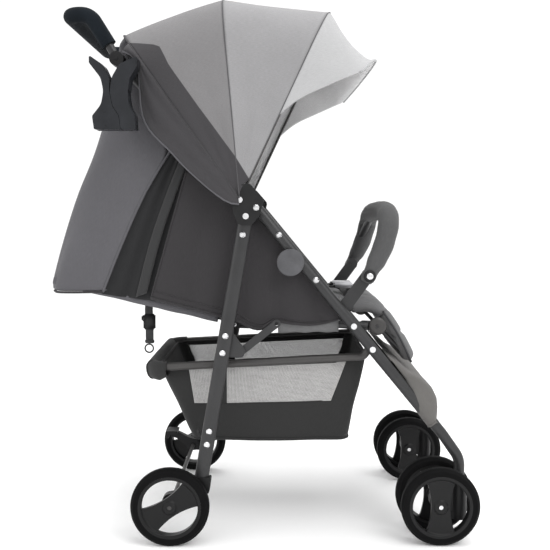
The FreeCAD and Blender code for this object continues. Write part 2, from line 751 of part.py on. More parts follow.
def seat_frame():
    pieces = []
    front = line_point(LEGREST_PIVOT, BACK_HINGE, 19.0)
    for word, side in SIDES.items():
        ends = [point(BACK_HINGE, side * RAIL_Y), point(front, side * RAIL_Y)]
        pieces.append(rod(f"seat_rail_{word}", ends, [], "rail_radius"))
        low, high = span(side, 160.0, 187.6)
        pieces.append(cylinder(f"seat_stud_{word}", "pin_radius", LINK_HEAD, low, high))
        lug = slot(line_point(LEGREST_PIVOT, BACK_HINGE, 26.0), LEGREST_PIVOT, 9.0)
        pieces.append(plate(f"seat_lug_{word}", lug, side, 153.0, "lug_thick"))
        low, high = span(side, 140.0, 168.0)
        pieces.append(cylinder(f"legrest_pin_{word}", "pin_radius", LEGREST_PIVOT, low, high))
        low, high = span(side, 140.0, 160.0)
        pieces.append(cylinder(f"back_pin_{word}", "pin_radius", BACK_HINGE, low, high))
    for name, reach in (("front", 60.0), ("rear", 250.0)):
        place = line_point(LEGREST_PIVOT, BACK_HINGE, reach)
        pieces.append(cylinder(f"seat_cross_{name}", "tube_radius", place, -RAIL_Y, RAIL_Y, " * 0.6"))
    holes = []
    for word, side in SIDES.items():
        low, high = span(side, 140.0, 180.0)
        holes.append(cylinder(f"seat_hole_{word}", "rivet_radius", SEAT_PIVOT, low, high, " + 0.05"))
    solid = fuse("seat_frame_solid", pieces)
    finish(cut("seat_frame", solid, fuse("seat_frame_holes", holes)), "seat_frame")


def padded(name, corners, half_width, alias):
    body = new_body(name)
    add_pad(body, name + "_pad", corners, -half_width, alias)
    finish(body, name)


def seat_cushion():
    corners = [(-28, 421, 8), (178, 421, 8), (180, 448, 12), (120, 452, 40), (-28, 444, 10)]
    padded("seat_cushion", corners, 165.0, "seat_width")


def backrest():
    pieces = []
    corners = [along_back(0.0, 0.0), along_back(304.0, 0.0)]
    y = 148.0
    points = [point(corners[0], -y), point(corners[1], -y), point(corners[1], y), point(corners[0], y)]
    hoop = rod("back_hoop", points, [50.0, 50.0], "wire_radius", " + 1")
    for word, side in SIDES.items():
        low, high = span(side, 142.0, 152.0)
        pieces.append(cylinder(f"back_eye_{word}", "wire_radius", BACK_HINGE, low, high, " + 3"))
    holes = []
    for word, side in SIDES.items():
        low, high = span(side, 135.0, 158.0)
        holes.append(cylinder(f"back_eye_hole_{word}", "pin_radius", BACK_HINGE, low, high, " + 0.05"))
    solid = fuse("backrest_frame_solid", [hoop] + pieces)
    finish(cut("backrest_frame", solid, fuse("backrest_holes", holes)), "backrest_frame")
    near, far = 12.0, 320.0
    low, high = 6.0, 6.0 + size("pad_thick")
    edge = [along_back(near, low), along_back(far, low), along_back(far, high), along_back(near, high)]
    corners = [(x, z, 8.0) for x, z in edge]
    padded("backrest_cushion", corners, 157.0, "back_width")


def recline_strap():
    """The webbing with its buckle that hangs from the back to the basket rail."""
    x, y = -214.0, -135.0
    top = BACK_HINGE[1] + math.tan(BACK_SLOPE) * (BACK_HINGE[0] - x) - 6.5
    pieces = []
    for name, wide, deep, z_low, z_high in (
        ("webbing", 15.0, 1.6, 365.0, top),
        ("buckle", 25.0, 9.0, 386.0, 418.0),
        ("loop", 18.0, 4.0, 356.0, 368.0),
        ("ring", 24.0, 3.0, 341.0, 356.0),
    ):
        box = doc.addObject("Part::Box", "strap_" + name)
        box.Length = wide
        box.Width = deep
        box.Height = z_high - z_low
        box.Placement = Placement(Vector(x - wide / 2, y - deep / 2, z_low), Rotation())
        pieces.append(box)
    finish(fuse("recline_strap", pieces), "recline_strap")


def legrest():
    y = 134.0
    toe = (284.0, 330.0)
    points = [point(LEGREST_PIVOT, -y), point(toe, -y), point(toe, y), point(LEGREST_PIVOT, y)]
    pieces = [rod("legrest_hoop", points, [25.0, 25.0], "wire_radius")]
    holes = []
    for word, side in SIDES.items():
        low, high = span(side, 130.0, 151.0)
        pieces.append(cylinder(f"legrest_sleeve_{word}", "rail_radius", LEGREST_PIVOT, low, high))
        low, high = span(side, 129.0, 175.0)
        holes.append(cylinder(f"legrest_hole_{word}", "pin_radius", LEGREST_PIVOT, low, high, " + 0.05"))
    solid = fuse("legrest_frame_solid", pieces)
    finish(cut("legrest_frame", solid, fuse("legrest_holes", holes)), "legrest_frame")
    corners = [(230, 446, 8), (258, 408, 60), (283, 374, 60), (296, 338, 8), (291, 327, 4), (274, 352, 40),
               (252, 386, 40), (233, 413, 6)]
    padded("legrest_pad", corners, 152.0, "legrest_width")


# ------------------------------------------------------------ bumper and handle


def bumper():
    y = 189.5
    crown = (243.0, 612.0)
    start = line_point(BUMPER_PIVOT, crown, 6.0)
    points = [point(start, -y), point(crown, -y), point(crown, y), point(start, y)]
    core = rod("bumper_bar", points, [100.0, 100.0], "bumper_core")
    ends, holes = [], []
    for word, side in SIDES.items():
        low, high = span(side, 180.0, 199.5)
        ends.append(cylinder(f"bumper_end_{word}", "hinge_radius", BUMPER_PIVOT, low, high))
        low, high = span(side, 178.0, 203.0)
        holes.append(cylinder(f"bumper_hole_{word}", "pin_radius", BUMPER_PIVOT, low, high, " + 0.05"))
    whole = fuse("bumper_solid", [core] + ends)
    finish(cut("bumper_core", whole, fuse("bumper_holes", holes)), "bumper_core")
    start = line_point(BUMPER_PIVOT, crown, 22.0)
    points = [point(start, -y), point(crown, -y), point(crown, y), point(start, y)]
    pad = rod("bumper_foam", points, [100.0, 100.0], "bumper_radius")
    hollow = rod("bumper_foam_bore", points, [100.0, 100.0], "bumper_core", " + 0.1")
    finish(cut("bumper_pad", pad, hollow), "bumper_pad")


def handle():
    y = 182.0
    knee, back = (-309.0, 970.0), (-348.0, 970.0)

    def route(reach):
        start = line_point(HANDLE_HUB, knee, reach)
        first = [point(start, -y), point(knee, -y), point(back, -y)]
        return first + [point(back, y), point(knee, y), point(start, y)]

    bends = [28.0, 22.0, 22.0, 28.0]
    bar = rod("handle_bar_tube", route(6.0), bends, "grip_core")
    ends, holes = [], []
    for word, side in SIDES.items():
        low, high = span(side, 175.8, 189.4)
        ends.append(cylinder(f"handle_end_{word}", "hinge_radius", HANDLE_HUB, low, high))
        low, high = span(side, 170.0, 195.0)
        holes.append(cylinder(f"handle_hole_{word}", "pin_radius", HANDLE_HUB, low, high, " + 0.05"))
    finish(cut("handle_bar", fuse("handle_solid", [bar] + ends), fuse("handle_holes", holes)), "handle_bar")
    grip = rod("handle_foam", route(32.0), bends, "grip_radius")
    hollow = rod("handle_foam_bore", route(32.0), bends, "grip_core", " + 0.1")
    finish(cut("handle_grip", grip, hollow), "handle_grip")


# ---------------------------------------------------------------------- basket


def basket():
    rear, drop, back = (-208.0, 318.0), (194.0, 340.0), 150.0
    y = HOOP_Y
    front = HOOP_PIVOT
    points = [point(front, -y), point(drop, -y), point(rear, -y), point(rear, y), point(drop, y),
              point(front, y)]
    hoop = rod("basket_rail", points, [12.0, 40.0, 40.0, 12.0], "rail_radius")
    eyes, holes = [], []
    for word, side in SIDES.items():
        low, high = span(side, 158.0, 172.0)
        eyes.append(cylinder(f"hoop_eye_{word}", "rail_radius", HOOP_PIVOT, low, high))
        low, high = span(side, 150.0, 178.0)
        holes.append(cylinder(f"hoop_hole_{word}", "rivet_radius", HOOP_PIVOT, low, high, " + 0.05"))
    finish(cut("basket_hoop", fuse("hoop_solid", [hoop] + eyes), fuse("hoop_holes", holes)), "basket_hoop")

    def ring(rear_x, front_x, rear_z, front_z, half_width, corner):
        corners = [Vector(rear_x, 0, rear_z), Vector(rear_x, -half_width, rear_z),
                   Vector(front_x, -half_width, front_z), Vector(front_x, half_width, front_z),
                   Vector(rear_x, half_width, rear_z), Vector(rear_x, 0, rear_z)]
        return rounded_wire(corners, [corner] * 4)

    wall = size("cloth_thick")
    floor_half, mouth_half = back - 12, back + 4
    floor_out = ring(-134, 168, 178, 178, floor_half, 20)
    mouth_out = ring(-196, 203, 313, 334, mouth_half, 20)
    floor_in = ring(-134 + wall, 168 - wall, 178 + wall, 178 + wall, floor_half - wall, 18)
    mouth_in = ring(-198 + wall, 203 - wall, 317, 338, mouth_half - wall, 18)
    outer = loft("basket_outside", [floor_out, mouth_out])
    inner = loft("basket_inside", [floor_in, mouth_in])
    finish(cut("basket_bag", outer, inner), "basket_bag")


# ---------------------------------------------------------------------- canopy

# Each rib leans back from level by its angle and reaches its top from the canopy pivot.
RIBS = {
    "rear_edge": {"angle": 125.5, "top": 400.0},
    "mid": {"angle": 95.2, "top": 397.0},
    "front": {"angle": 64.9, "top": 409.0},
    "visor": {"angle": 46.5, "top": 388.0},
}
SHELL_Y = 214.5


def canopy_rib(name, rib, y, inset):
    lean = math.radians(rib["angle"])
    points = []
    for reach, across in crowned(4.5, rib["top"] - inset, y):
        place = (CANOPY_PIVOT[0] + reach * math.cos(lean), CANOPY_PIVOT[1] + reach * math.sin(lean))
        points.append(point(place, across))
    hoop = rod(name + "_wire", points, [86.0, CROWN_BEND, 86.0], "rib_radius")
    eyes, holes = [], []
    for word, side in SIDES.items():
        low, high = span(side, y - 2.4, y + 2.4)
        eyes.append(cylinder(f"{name}_eye_{word}", "pin_radius", CANOPY_PIVOT, low, high, " + 4"))
        low, high = span(side, y - 6.0, y + 6.0)
        holes.append(cylinder(f"{name}_hole_{word}", "pin_radius", CANOPY_PIVOT, low, high, " + 0.05"))
    finish(cut(name, fuse(name + "_solid", [hoop] + eyes), fuse(name + "_holes", holes)), name)


def canopy():
    canopy_rib("mid_rib", RIBS["mid"], 203.8, 5.5)
    canopy_rib("front_rib", RIBS["front"], 209.2, 5.5)
    foot, corner = 64.0, 92.0

    def section(rib, shift=0.0, low=foot):
        return arch_section(rib["angle"] + shift, rib["top"], low, SHELL_Y, corner)

    rear = [section(RIBS["rear_edge"]), section(RIBS["mid"], 0.3)]
    front = [section(RIBS["mid"], -0.3), section(RIBS["front"], 0.3)]
    visor = [section(RIBS["front"], -0.3, 160.0), section(RIBS["visor"], 0.0, 245.0)]
    finish(loft("canopy_rear_panel", rear), "canopy_rear_panel")
    finish(loft("canopy_front_panel", front), "canopy_front_panel")
    finish(loft("canopy_visor", visor), "canopy_visor")


# ------------------------------------------------------------------ cloth walls


def head_wall():
    """The cloth wall that closes the head end between the canopy and the reclined back."""
    # Each level is a height, the front ends of the wall's two wings, and its rear face.
    levels = ((470.0, -293.0, -396.0), (560.0, -256.0, -374.0), (650.0, -214.0, -349.0),
              (724.0, -168.0, -323.0), (800.0, -206.0, -294.0), (915.0, -236.0, -262.0))
    half = 165.0

    def section(z, side_x, rear_x):
        def skin(inset):
            wide, back, round_by = half - inset, rear_x + inset, 20.0 - inset
            corners = [Vector(side_x, -wide, z), Vector(back, -wide, z), Vector(back, wide, z),
                       Vector(side_x, wide, z)]
            return rounded_wire(corners, [round_by, round_by])

        return strip_wire(skin(0.0), skin(size("cloth_thick")))

    finish(loft("head_wall", [section(*level) for level in levels]), "head_wall")


def side_walls():
    edge = [(-136, 690, 6), (-50, 626, 20), (-12, 604, 10), (150, 418, 12), (88, 403, 20), (46, 413, 8),
            (20, 413, 8), (10, 396, 6), (-6, 396, 8), (-48, 412, 10), (-204, 455, 6)]
    walls = [plate(f"side_wall_{word}", edge, side, WALL_Y, "cloth_thick") for word, side in SIDES.items()]
    finish(group("side_walls", walls), "side_walls")


# --------------------------------------------------------------------- assembly

for word, side in SIDES.items():
    front_leg(word, side)
    handle_tube(word, side)
    caster_arm(word, side)
    rear_leg(word, side)
    caster(word, side)
brake_pedal()
finish(group("top_housings", [top_housing(word, side) for word, side in SIDES.items()]), "top_housings")
finish(group("rear_brackets", [rear_bracket(word, side) for word, side in SIDES.items()]), "rear_brackets")
side_caps()
frame_rivets()
pivot_pins()
bumper_sockets()
handle_hubs()
cup_holder()
foot_sling()
rear_axle()
gussets()
rear_leg_rivets()
fold_links()
wheels()
seat_frame()
seat_cushion()
backrest()
recline_strap()
legrest()
bumper()
handle()
basket()
canopy()
head_wall()
side_walls()
doc.recompute()

# ---------------------------------------------------------------- checks, files

for item in doc.Objects:
    if "Invalid" in item.State or "Error" in item.State:
        raise RuntimeError(f"{item.Label} did not build: {item.State}")
for item in nodes:
    if item.Shape.isNull() or not item.Shape.isValid() or item.Shape.Volume <= 0:
        raise RuntimeError(f"{item.Label} is not a sound solid")
os.makedirs("parts", exist_ok=True)
labels = [item.Label for item in nodes]
if len(set(labels)) != len(labels) or any(label[-1].isdigit() for label in labels):
    raise RuntimeError("two pieces share a name")
for item in nodes:
    item.Shape.exportStep(os.path.join("parts", item.Label + ".step"))
print(f"{len(nodes)} nodes written")
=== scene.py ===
from math import atan, copysign, cos, exp, hypot, pi, radians, sin, tan

import bmesh
import bpy
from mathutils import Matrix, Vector, noise
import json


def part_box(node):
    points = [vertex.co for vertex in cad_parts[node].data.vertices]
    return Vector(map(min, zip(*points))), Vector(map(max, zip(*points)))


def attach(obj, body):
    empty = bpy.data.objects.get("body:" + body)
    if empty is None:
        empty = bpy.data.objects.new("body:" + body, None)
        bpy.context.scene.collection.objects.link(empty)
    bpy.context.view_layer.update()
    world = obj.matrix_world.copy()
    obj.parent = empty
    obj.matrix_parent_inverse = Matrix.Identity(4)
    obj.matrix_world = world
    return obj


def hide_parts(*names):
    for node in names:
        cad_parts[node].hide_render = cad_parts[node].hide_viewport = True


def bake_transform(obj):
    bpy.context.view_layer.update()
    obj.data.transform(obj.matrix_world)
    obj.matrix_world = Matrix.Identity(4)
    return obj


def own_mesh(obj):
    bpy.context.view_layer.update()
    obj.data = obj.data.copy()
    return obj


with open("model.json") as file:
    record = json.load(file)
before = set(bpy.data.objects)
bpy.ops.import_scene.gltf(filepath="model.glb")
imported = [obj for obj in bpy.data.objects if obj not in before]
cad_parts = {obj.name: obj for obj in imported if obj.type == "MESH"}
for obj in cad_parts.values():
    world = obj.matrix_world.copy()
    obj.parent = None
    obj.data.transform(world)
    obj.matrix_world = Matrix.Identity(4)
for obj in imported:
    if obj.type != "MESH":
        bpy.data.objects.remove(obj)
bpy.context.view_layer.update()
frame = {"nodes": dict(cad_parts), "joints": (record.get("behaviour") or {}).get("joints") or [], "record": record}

# A light folding pushchair with a grey canopy. Lengths in the code are millimetres unless
# a name says otherwise, and at() turns them into Blender's metres. +X is forward, +Z up,
# -Y is the near side.

MM = 0.001
SIDES = {"near": -1.0, "far": 1.0}


def at(x, y, z):
    """A point given in millimetres, in metres."""
    return Vector((x * MM, y * MM, z * MM))


def joint_place(name):
    """The (x, z) of a CAD joint, in millimetres."""
    for joint in frame["joints"]:
        if joint["name"] == name:
            place = joint["pos_m"]
            return place[0] / MM, place[2] / MM
    raise ValueError("there is no joint named " + name)


CANOPY = joint_place("canopy_fold")
BACK = joint_place("recline")
LEGREST = joint_place("legrest_tilt")
BUMPER = joint_place("bumper_swing")

# --- Camera ---

camera_data = bpy.data.cameras.new("camera")
camera_data.sensor_width = 36.0
camera_data.lens = 54.79
camera = bpy.data.objects.new("camera", camera_data)
bpy.context.scene.collection.objects.link(camera)
camera.location = at(36.0, -1733.0, 607.0)
CAMERA_PITCH = 0.0718
CAMERA_YAW = -0.0054
camera.rotation_euler = (pi / 2 - CAMERA_PITCH, 0.0, -CAMERA_YAW)
bpy.context.scene.camera = camera

# --- Materials ---


class Nodes:
    """A small helper that adds shader nodes and links them."""

    def __init__(self, name):
        self.material = bpy.data.materials.new(name)
        self.material.use_nodes = True
        self.tree = self.material.node_tree
        self.shader = self.tree.nodes["Principled BSDF"]

    def add(self, kind, **settings):
        node = self.tree.nodes.new("ShaderNode" + kind)
        for key, value in settings.items():
            setattr(node, key, value)
        return node

    def fill(self, node, **values):
        """Sets a node's sockets by name."""
        for key, value in values.items():
            node.inputs[key.replace("_", " ")].default_value = value

    def link(self, source, target):
        self.tree.links.new(source, target)

    def coordinates(self, source, stretch=(1.0, 1.0, 1.0)):
        place = self.add("TexCoord")
        mapping = self.add("Mapping")
        self.fill(mapping, Scale=stretch)
        self.link(place.outputs[source], mapping.inputs["Vector"])
        return mapping.outputs["Vector"]

    def math(self, operation, first, second):
        node = self.add("Math", operation=operation)
        for socket, value in zip(node.inputs, (first, second)):
            if isinstance(value, (int, float)):
                socket.default_value = value
            else:
                self.link(value, socket)
        return node.outputs[0]

    def noise(self, vector, scale, detail=3.0, rough=0.55):
        node = self.add("TexNoise")
        self.fill(node, Scale=scale, Detail=detail, Roughness=rough)
        self.link(vector, node.inputs["Vector"])
        return node.outputs["Fac"]

    def wave(self, vector, axis, period):
        """Threads side by side; period is the distance between two of them, in metres."""
        node = self.add("TexWave", wave_type="BANDS", bands_direction=axis)
        self.fill(node, Scale=pi / (10.0 * period))
        self.link(vector, node.inputs["Vector"])
        return node.outputs["Fac"]

    def mix(self, factor, dark, light):
        node = self.add("Mix", data_type="RGBA")
        colours = [socket for socket in node.inputs if socket.type == "RGBA"]
        self.link(factor, node.inputs[0])
        for socket, value in zip(colours, (dark, light)):
            if isinstance(value, tuple):
                socket.default_value = (*value, 1.0)
            else:
                self.link(value, socket)
        return [socket for socket in node.outputs if socket.type == "RGBA"][0]

    def range(self, value, low, high, new_low=0.0, new_high=1.0):
        node = self.add("MapRange")
        self.link(value, node.inputs["Value"])
        self.fill(node, From_Min=low, From_Max=high, To_Min=new_low, To_Max=new_high)
        return node.outputs["Result"]

    def bump(self, height, distance, strength, before=None):
        node = self.add("Bump")
        self.fill(node, Strength=strength, Distance=distance)
        self.link(height, node.inputs["Height"])
        if before:
            self.link(before, node.inputs["Normal"])
        return node.outputs["Normal"]

    def finish(self, colour, rough, normal=None, **constants):
        self.link(colour, self.shader.inputs["Base Color"])
        if isinstance(rough, float):
            constants["Roughness"] = rough
        else:
            self.link(rough, self.shader.inputs["Roughness"])
        if normal:
            self.link(normal, self.shader.inputs["Normal"])
        self.fill(self.shader, **constants)
        return self.material


def shade(colour, factor):
    """A colour made darker or lighter."""
    return tuple(channel * factor for channel in colour)


def cloth(name, colour, thread=0.0011, weave_bump=0.35, contrast=0.22, band=None):
    """Woven cloth: two crossed threads, a slubby tone and faint soft creases."""
    n = Nodes(name)
    threads = n.coordinates("UV")
    place = n.coordinates("Object")
    warp = n.wave(threads, "X", thread)
    weft = n.wave(threads, "Y", thread)
    weave = n.math("MULTIPLY", warp, weft)
    slub = n.noise(n.coordinates("UV", (1.0, 0.12, 1.0)), 900.0, 2.0)
    blotch = n.noise(place, 7.0, 4.0)
    crease = n.noise(place, 26.0, 5.0, 0.62)
    tone = n.math("ADD", n.math("MULTIPLY", weave, 0.25), n.math("MULTIPLY", slub, 0.4))
    tone = n.math("ADD", tone, n.math("MULTIPLY", blotch, 0.35))
    low, high = shade(colour, 1.0 - contrast), shade(colour, 1.0 + contrast)
    paint = n.mix(n.range(tone, 0.25, 0.75), low, high)
    if band:
        mark = n.add("Attribute", attribute_name="band")
        edge = n.range(mark.outputs["Fac"], -0.0004, 0.0004)
        dark = n.mix(n.range(tone, 0.25, 0.75), shade(band, 1.0 - contrast), shade(band, 1.0 + contrast))
        paint = n.mix(edge, paint, dark)
    rough = n.range(blotch, 0.3, 0.7, 0.78, 0.92)
    soft = n.bump(crease, 0.004, 0.25)
    normal = n.bump(weave, thread * 0.4, weave_bump, soft)
    return n.finish(paint, rough, normal, Sheen_Weight=0.1, Sheen_Roughness=0.5, Specular_IOR_Level=0.15)


# The net's mesh, from one thread to the next, in metres.
NET_MESH = 0.0026


def mesh_cloth(name, colour):
    """An open net: threads with clear gaps between them."""
    n = Nodes(name)
    threads = n.coordinates("UV")
    warp = n.wave(threads, "X", NET_MESH)
    weft = n.wave(threads, "Y", NET_MESH)
    solid = n.math("MAXIMUM", warp, weft)
    cover = n.range(solid, 0.5, 0.75, 0.3, 0.97)
    tone = n.noise(n.coordinates("Object"), 90.0)
    paint = n.mix(n.range(tone, 0.3, 0.7), shade(colour, 0.94), shade(colour, 1.06))
    normal = n.bump(solid, 0.0004, 0.4)
    material = n.finish(paint, 0.8, normal, Specular_IOR_Level=0.2)
    n.link(cover, n.shader.inputs["Alpha"])
    return material


def paint_metal(name, colour, rough=0.38):
    """Powder-coated tube: fine orange peel, slightly worn tone."""
    n = Nodes(name)
    place = n.coordinates("Object")
    peel = n.noise(place, 1400.0, 2.0)
    tone = n.noise(place, 18.0, 5.0)
    speck = n.noise(place, 420.0, 3.0, 0.7)
    mixed = n.math("ADD", n.math("MULTIPLY", tone, 0.6), n.math("MULTIPLY", speck, 0.4))
    paint = n.mix(n.range(mixed, 0.35, 0.65), shade(colour, 0.82), shade(colour, 1.2))
    return n.finish(paint, n.range(tone, 0.3, 0.7, rough - 0.06, rough + 0.1), n.bump(peel, 0.0003, 0.3),
                    Metallic=0.35, Specular_IOR_Level=0.5)


def plastic(name, colour, rough=0.45, grain=900.0, depth=0.0003):
    """Moulded plastic: spark-eroded grain and a few lighter rubbed patches."""
    n = Nodes(name)
    place = n.coordinates("Object")
    skin = n.noise(place, grain, 3.0, 0.6)
    tone = n.noise(place, 30.0, 4.0)
    paint = n.mix(n.range(tone, 0.35, 0.7), shade(colour, 0.85), shade(colour, 1.25))
    return n.finish(paint, n.range(tone, 0.3, 0.7, rough - 0.07, rough + 0.1), n.bump(skin, depth, 0.35),
                    Specular_IOR_Level=0.25)


def steel_metal(name):
    """Plated steel, a little uneven in tone and polish."""
    n = Nodes(name)
    place = n.coordinates("Object")
    tone = n.noise(place, 160.0, 4.0)
    paint = n.mix(n.range(tone, 0.3, 0.7), (0.62, 0.62, 0.63), (0.82, 0.82, 0.83))
    return n.finish(paint, n.range(tone, 0.3, 0.7, 0.18, 0.34), n.bump(tone, 0.0002, 0.2), Metallic=1.0)


def foam(name, colour, cells=1500.0, rough=0.9):
    """Closed-cell foam: fine pitted skin."""
    n = Nodes(name)
    place = n.coordinates("Object")
    cell = n.add("TexVoronoi", feature="F1")
    n.fill(cell, Scale=cells)
    n.link(place, cell.inputs["Vector"])
    tone = n.noise(place, 24.0, 5.0)
    paint = n.mix(n.range(tone, 0.35, 0.65), shade(colour, 0.8), shade(colour, 1.25))
    return n.finish(paint, rough, n.bump(cell.outputs["Distance"], 0.0004, 0.5), Specular_IOR_Level=0.09,
                    Sheen_Weight=0.012)


def webbing_cloth(name, colour):
    """Ribbed woven tape."""
    n = Nodes(name)
    threads = n.coordinates("UV")
    rib = n.wave(threads, "X", 0.0024)
    cross = n.wave(threads, "Y", 0.0012)
    weave = n.math("MULTIPLY", rib, cross)
    paint = n.mix(n.range(weave, 0.1, 0.8), shade(colour, 0.7), shade(colour, 1.5))
    return n.finish(paint, 0.75, n.bump(weave, 0.0004, 0.6), Sheen_Weight=0.2)


BAND_GREY = (0.05, 0.048, 0.051)
M = {
    # The three canopy cloths are one grey fabric: the rear panel's darker grey is painted shade, the visor's
    # lighter grey is painted light, and the front panel sits between them.
    "canopy_rear": cloth("canopy_rear_painted_shade_cloth", (0.185, 0.181, 0.184), band=BAND_GREY),
    "canopy_front": cloth("canopy_front_cloth", (0.262, 0.259, 0.264), band=BAND_GREY),
    "visor": cloth("visor_painted_light_cloth", (0.4, 0.4, 0.404)),
    "rib_seam": cloth("rib_seam_cloth", (0.085, 0.083, 0.087)),
    "lining": cloth("canopy_lining_cloth", (0.74, 0.735, 0.74)),
    # The inside cloth is near-black painted shade, for the shadowed openings beside the seat back and under the
    # side flaps.
    "inside": cloth("side_gusset_painted_shade_cloth", (0.02, 0.02, 0.021)),
    "band": cloth("band_cloth", BAND_GREY),
    "back": cloth("head_wall_cloth", (0.098, 0.096, 0.104)),
    "side": cloth("side_wall_cloth", (0.035, 0.033, 0.035)),
    "bumper": cloth("bumper_cloth", (0.082, 0.082, 0.083), thread=0.0016, weave_bump=0.5, contrast=0.3),
    "seat": cloth("seat_cloth", (0.15, 0.15, 0.152), thread=0.0016, weave_bump=0.5, contrast=0.3),
    "seat_piping": cloth("seat_piping_cloth", (0.05, 0.05, 0.052)),
    "basket": cloth("basket_cloth", (0.027, 0.027, 0.027), thread=0.0013),
    "net": mesh_cloth("basket_net", (0.42, 0.415, 0.41)),
    "sling": cloth("sling_cloth", (0.12, 0.115, 0.11), contrast=0.15),
    "webbing": webbing_cloth("strap_webbing", (0.014, 0.014, 0.015)),
    "thread": plastic("sewing_thread", (0.2, 0.2, 0.2), 0.7),
    "frame_metal": paint_metal("frame_paint", (0.028, 0.028, 0.029)),
    "rail_metal": paint_metal("rail_paint", (0.048, 0.046, 0.045)),
    "steel": steel_metal("rivet_steel"),
    "black_plastic": plastic("black_plastic", (0.009, 0.009, 0.0095)),
    "cap_plastic": plastic("cap_plastic", (0.075, 0.075, 0.08), 0.55),
    "tyre": foam("tyre_foam", (0.003, 0.003, 0.0032), 700.0, 0.75),
    "rim_plastic": plastic("rim_plastic", (0.004, 0.004, 0.0043), 0.4),
    "grip_foam": foam("grip_foam", (0.008, 0.0105, 0.0135)),
    "cup_plastic": plastic("cup_plastic", (0.013, 0.014, 0.0165), 0.3),
    "buckle": plastic("buckle_plastic", (0.6, 0.6, 0.62), 0.25),
}


def dress(node, finish):
    """Gives a CAD node one of the detailed finishes."""
    materials = frame["nodes"][node].data.materials
    materials.clear()
    materials.append(M[finish])


# The CAD nodes that stay in sight take the finish named like their slot, with three exceptions.
for part in frame["record"]["subparts"]:
    if part["material_slot"] in M:
        dress(part["node"], part["material_slot"])
dress("cup_holder_clamp", "cup_plastic")
dress("cup_holder_jaw", "cup_plastic")
dress("rear_axle", "rail_metal")

# --- Mesh tools ---


def link(name, mesh):
    """Puts a mesh into the scene as a smooth piece."""
    for face in mesh.polygons:
        face.use_smooth = True
    piece = bpy.data.objects.new(name, mesh)
    bpy.context.scene.collection.objects.link(piece)
    return piece


def running(points):
    """The length along a line of points up to each one."""
    total = [0.0]
    for first, second in zip(points, points[1:]):
        total.append(total[-1] + (second - first).length)
    return total


def grid(name, rows, materials, closed=False, pick=None, capped=False):
    """A smooth sheet through rows of points, with its threads' lengths as UVs, in metres."""
    count = len(rows[0])
    faces, marks, corners = [], [], []
    for r in range(len(rows) - 1):
        for c in range(count if closed else count - 1):
            d = (c + 1) % count
            faces.append((r * count + c, r * count + d, (r + 1) * count + d, (r + 1) * count + c))
            marks.append(pick(r, c) if pick else 0)
            corners += [(c, r), (c + 1, r), (c + 1, r + 1), (c, r + 1)]
    if capped:
        last = (len(rows) - 1) * count
        faces += [tuple(reversed(range(count))), tuple(range(last, last + count))]
        marks += [0, 0]
    mesh = bpy.data.meshes.new(name)
    mesh.from_pydata([p for row in rows for p in row], [], faces)
    middle = rows[len(rows) // 2]
    across = running(middle + ([middle[0]] if closed else []))
    along = running([row[count // 2] for row in rows])
    layer = mesh.uv_layers.new(name="threads")
    for index, (c, r) in enumerate(corners):
        layer.data[index].uv = (across[c], along[r])
    for finish in materials:
        mesh.materials.append(finish)
    mesh.polygons.foreach_set("material_index", marks)
    return link(name, mesh)


def surface(rows, columns, place):
    """Rows of points from a rule that takes the shares of the way down and across."""
    return [[place(r / rows, c / columns) for c in range(columns + 1)] for r in range(rows + 1)]


def soften(piece, levels=1):
    """Adds a subdivision to a piece."""
    smoothing = piece.modifiers.new("smooth", "SUBSURF")
    smoothing.levels = levels
    smoothing.render_levels = levels


def thick(piece, depth=1.6, offset=0.0, levels=1, lining=None):
    """Smooths a sheet and gives it the cloth's thickness, with a lining on its inner face."""
    if levels:
        soften(piece, levels)
    solid = piece.modifiers.new("cloth", "SOLIDIFY")
    solid.thickness = depth * MM
    solid.offset = offset
    if lining:
        solid.material_offset = len(piece.data.materials)
        piece.data.materials.append(lining)
    return piece


def curve(points, step=6.0):
    """Points every few millimetres on a smooth line through the given ones."""
    ends = [points[0] * 2 - points[1]] + list(points) + [points[-1] * 2 - points[-2]]
    found = []
    for a, b, c, d in zip(ends, ends[1:], ends[2:], ends[3:]):
        count = max(2, round((c - b).length / (step * MM)))
        for k in range(count):
            t = k / count
            found.append(0.5 * ((b * 2) + (c - a) * t + (a * 2 - b * 5 + c * 4 - d) * t * t
                                + (b * 3 - a - c * 3 + d) * t ** 3))
    return found + [points[-1]]


def tube(name, points, radius, finish, sides=10, flat=1.0, up=None):
    """A round or oval tube along points; radius is a number or one for each point, in millimetres."""
    rows = []
    side = up or Vector((0.0, 1.0, 0.0))
    for index, here in enumerate(points):
        before = points[max(index - 1, 0)]
        after = points[min(index + 1, len(points) - 1)]
        along = (after - before).normalized()
        first = side - along * side.dot(along)
        if first.length < 1e-4:
            first = Vector((1.0, 0.0, 0.0)) - along * along.x
        first.normalize()
        side = first if up is None else side
        second = along.cross(first)
        r = (radius[index] if isinstance(radius, list) else radius) * MM
        rows.append([here + first * cos(2 * pi * k / sides) * r
                     + second * sin(2 * pi * k / sides) * r * flat for k in range(sides)])
    is_ring = (points[0] - points[-1]).length <= 1e-6
    return grid(name, rows, [finish], closed=True, capped=not is_ring)


def tape(name, points, wide, finish, across=Vector((0.0, 1.0, 0.0)), depth=1.8):
    """A flat strap along points, its width along the across direction."""
    half = across * (wide / 2 * MM)
    rows = [[p - half, p - half * 0.5, p, p + half * 0.5, p + half] for p in points]
    return thick(grid(name, rows, [finish]), depth, 0.0, 0)


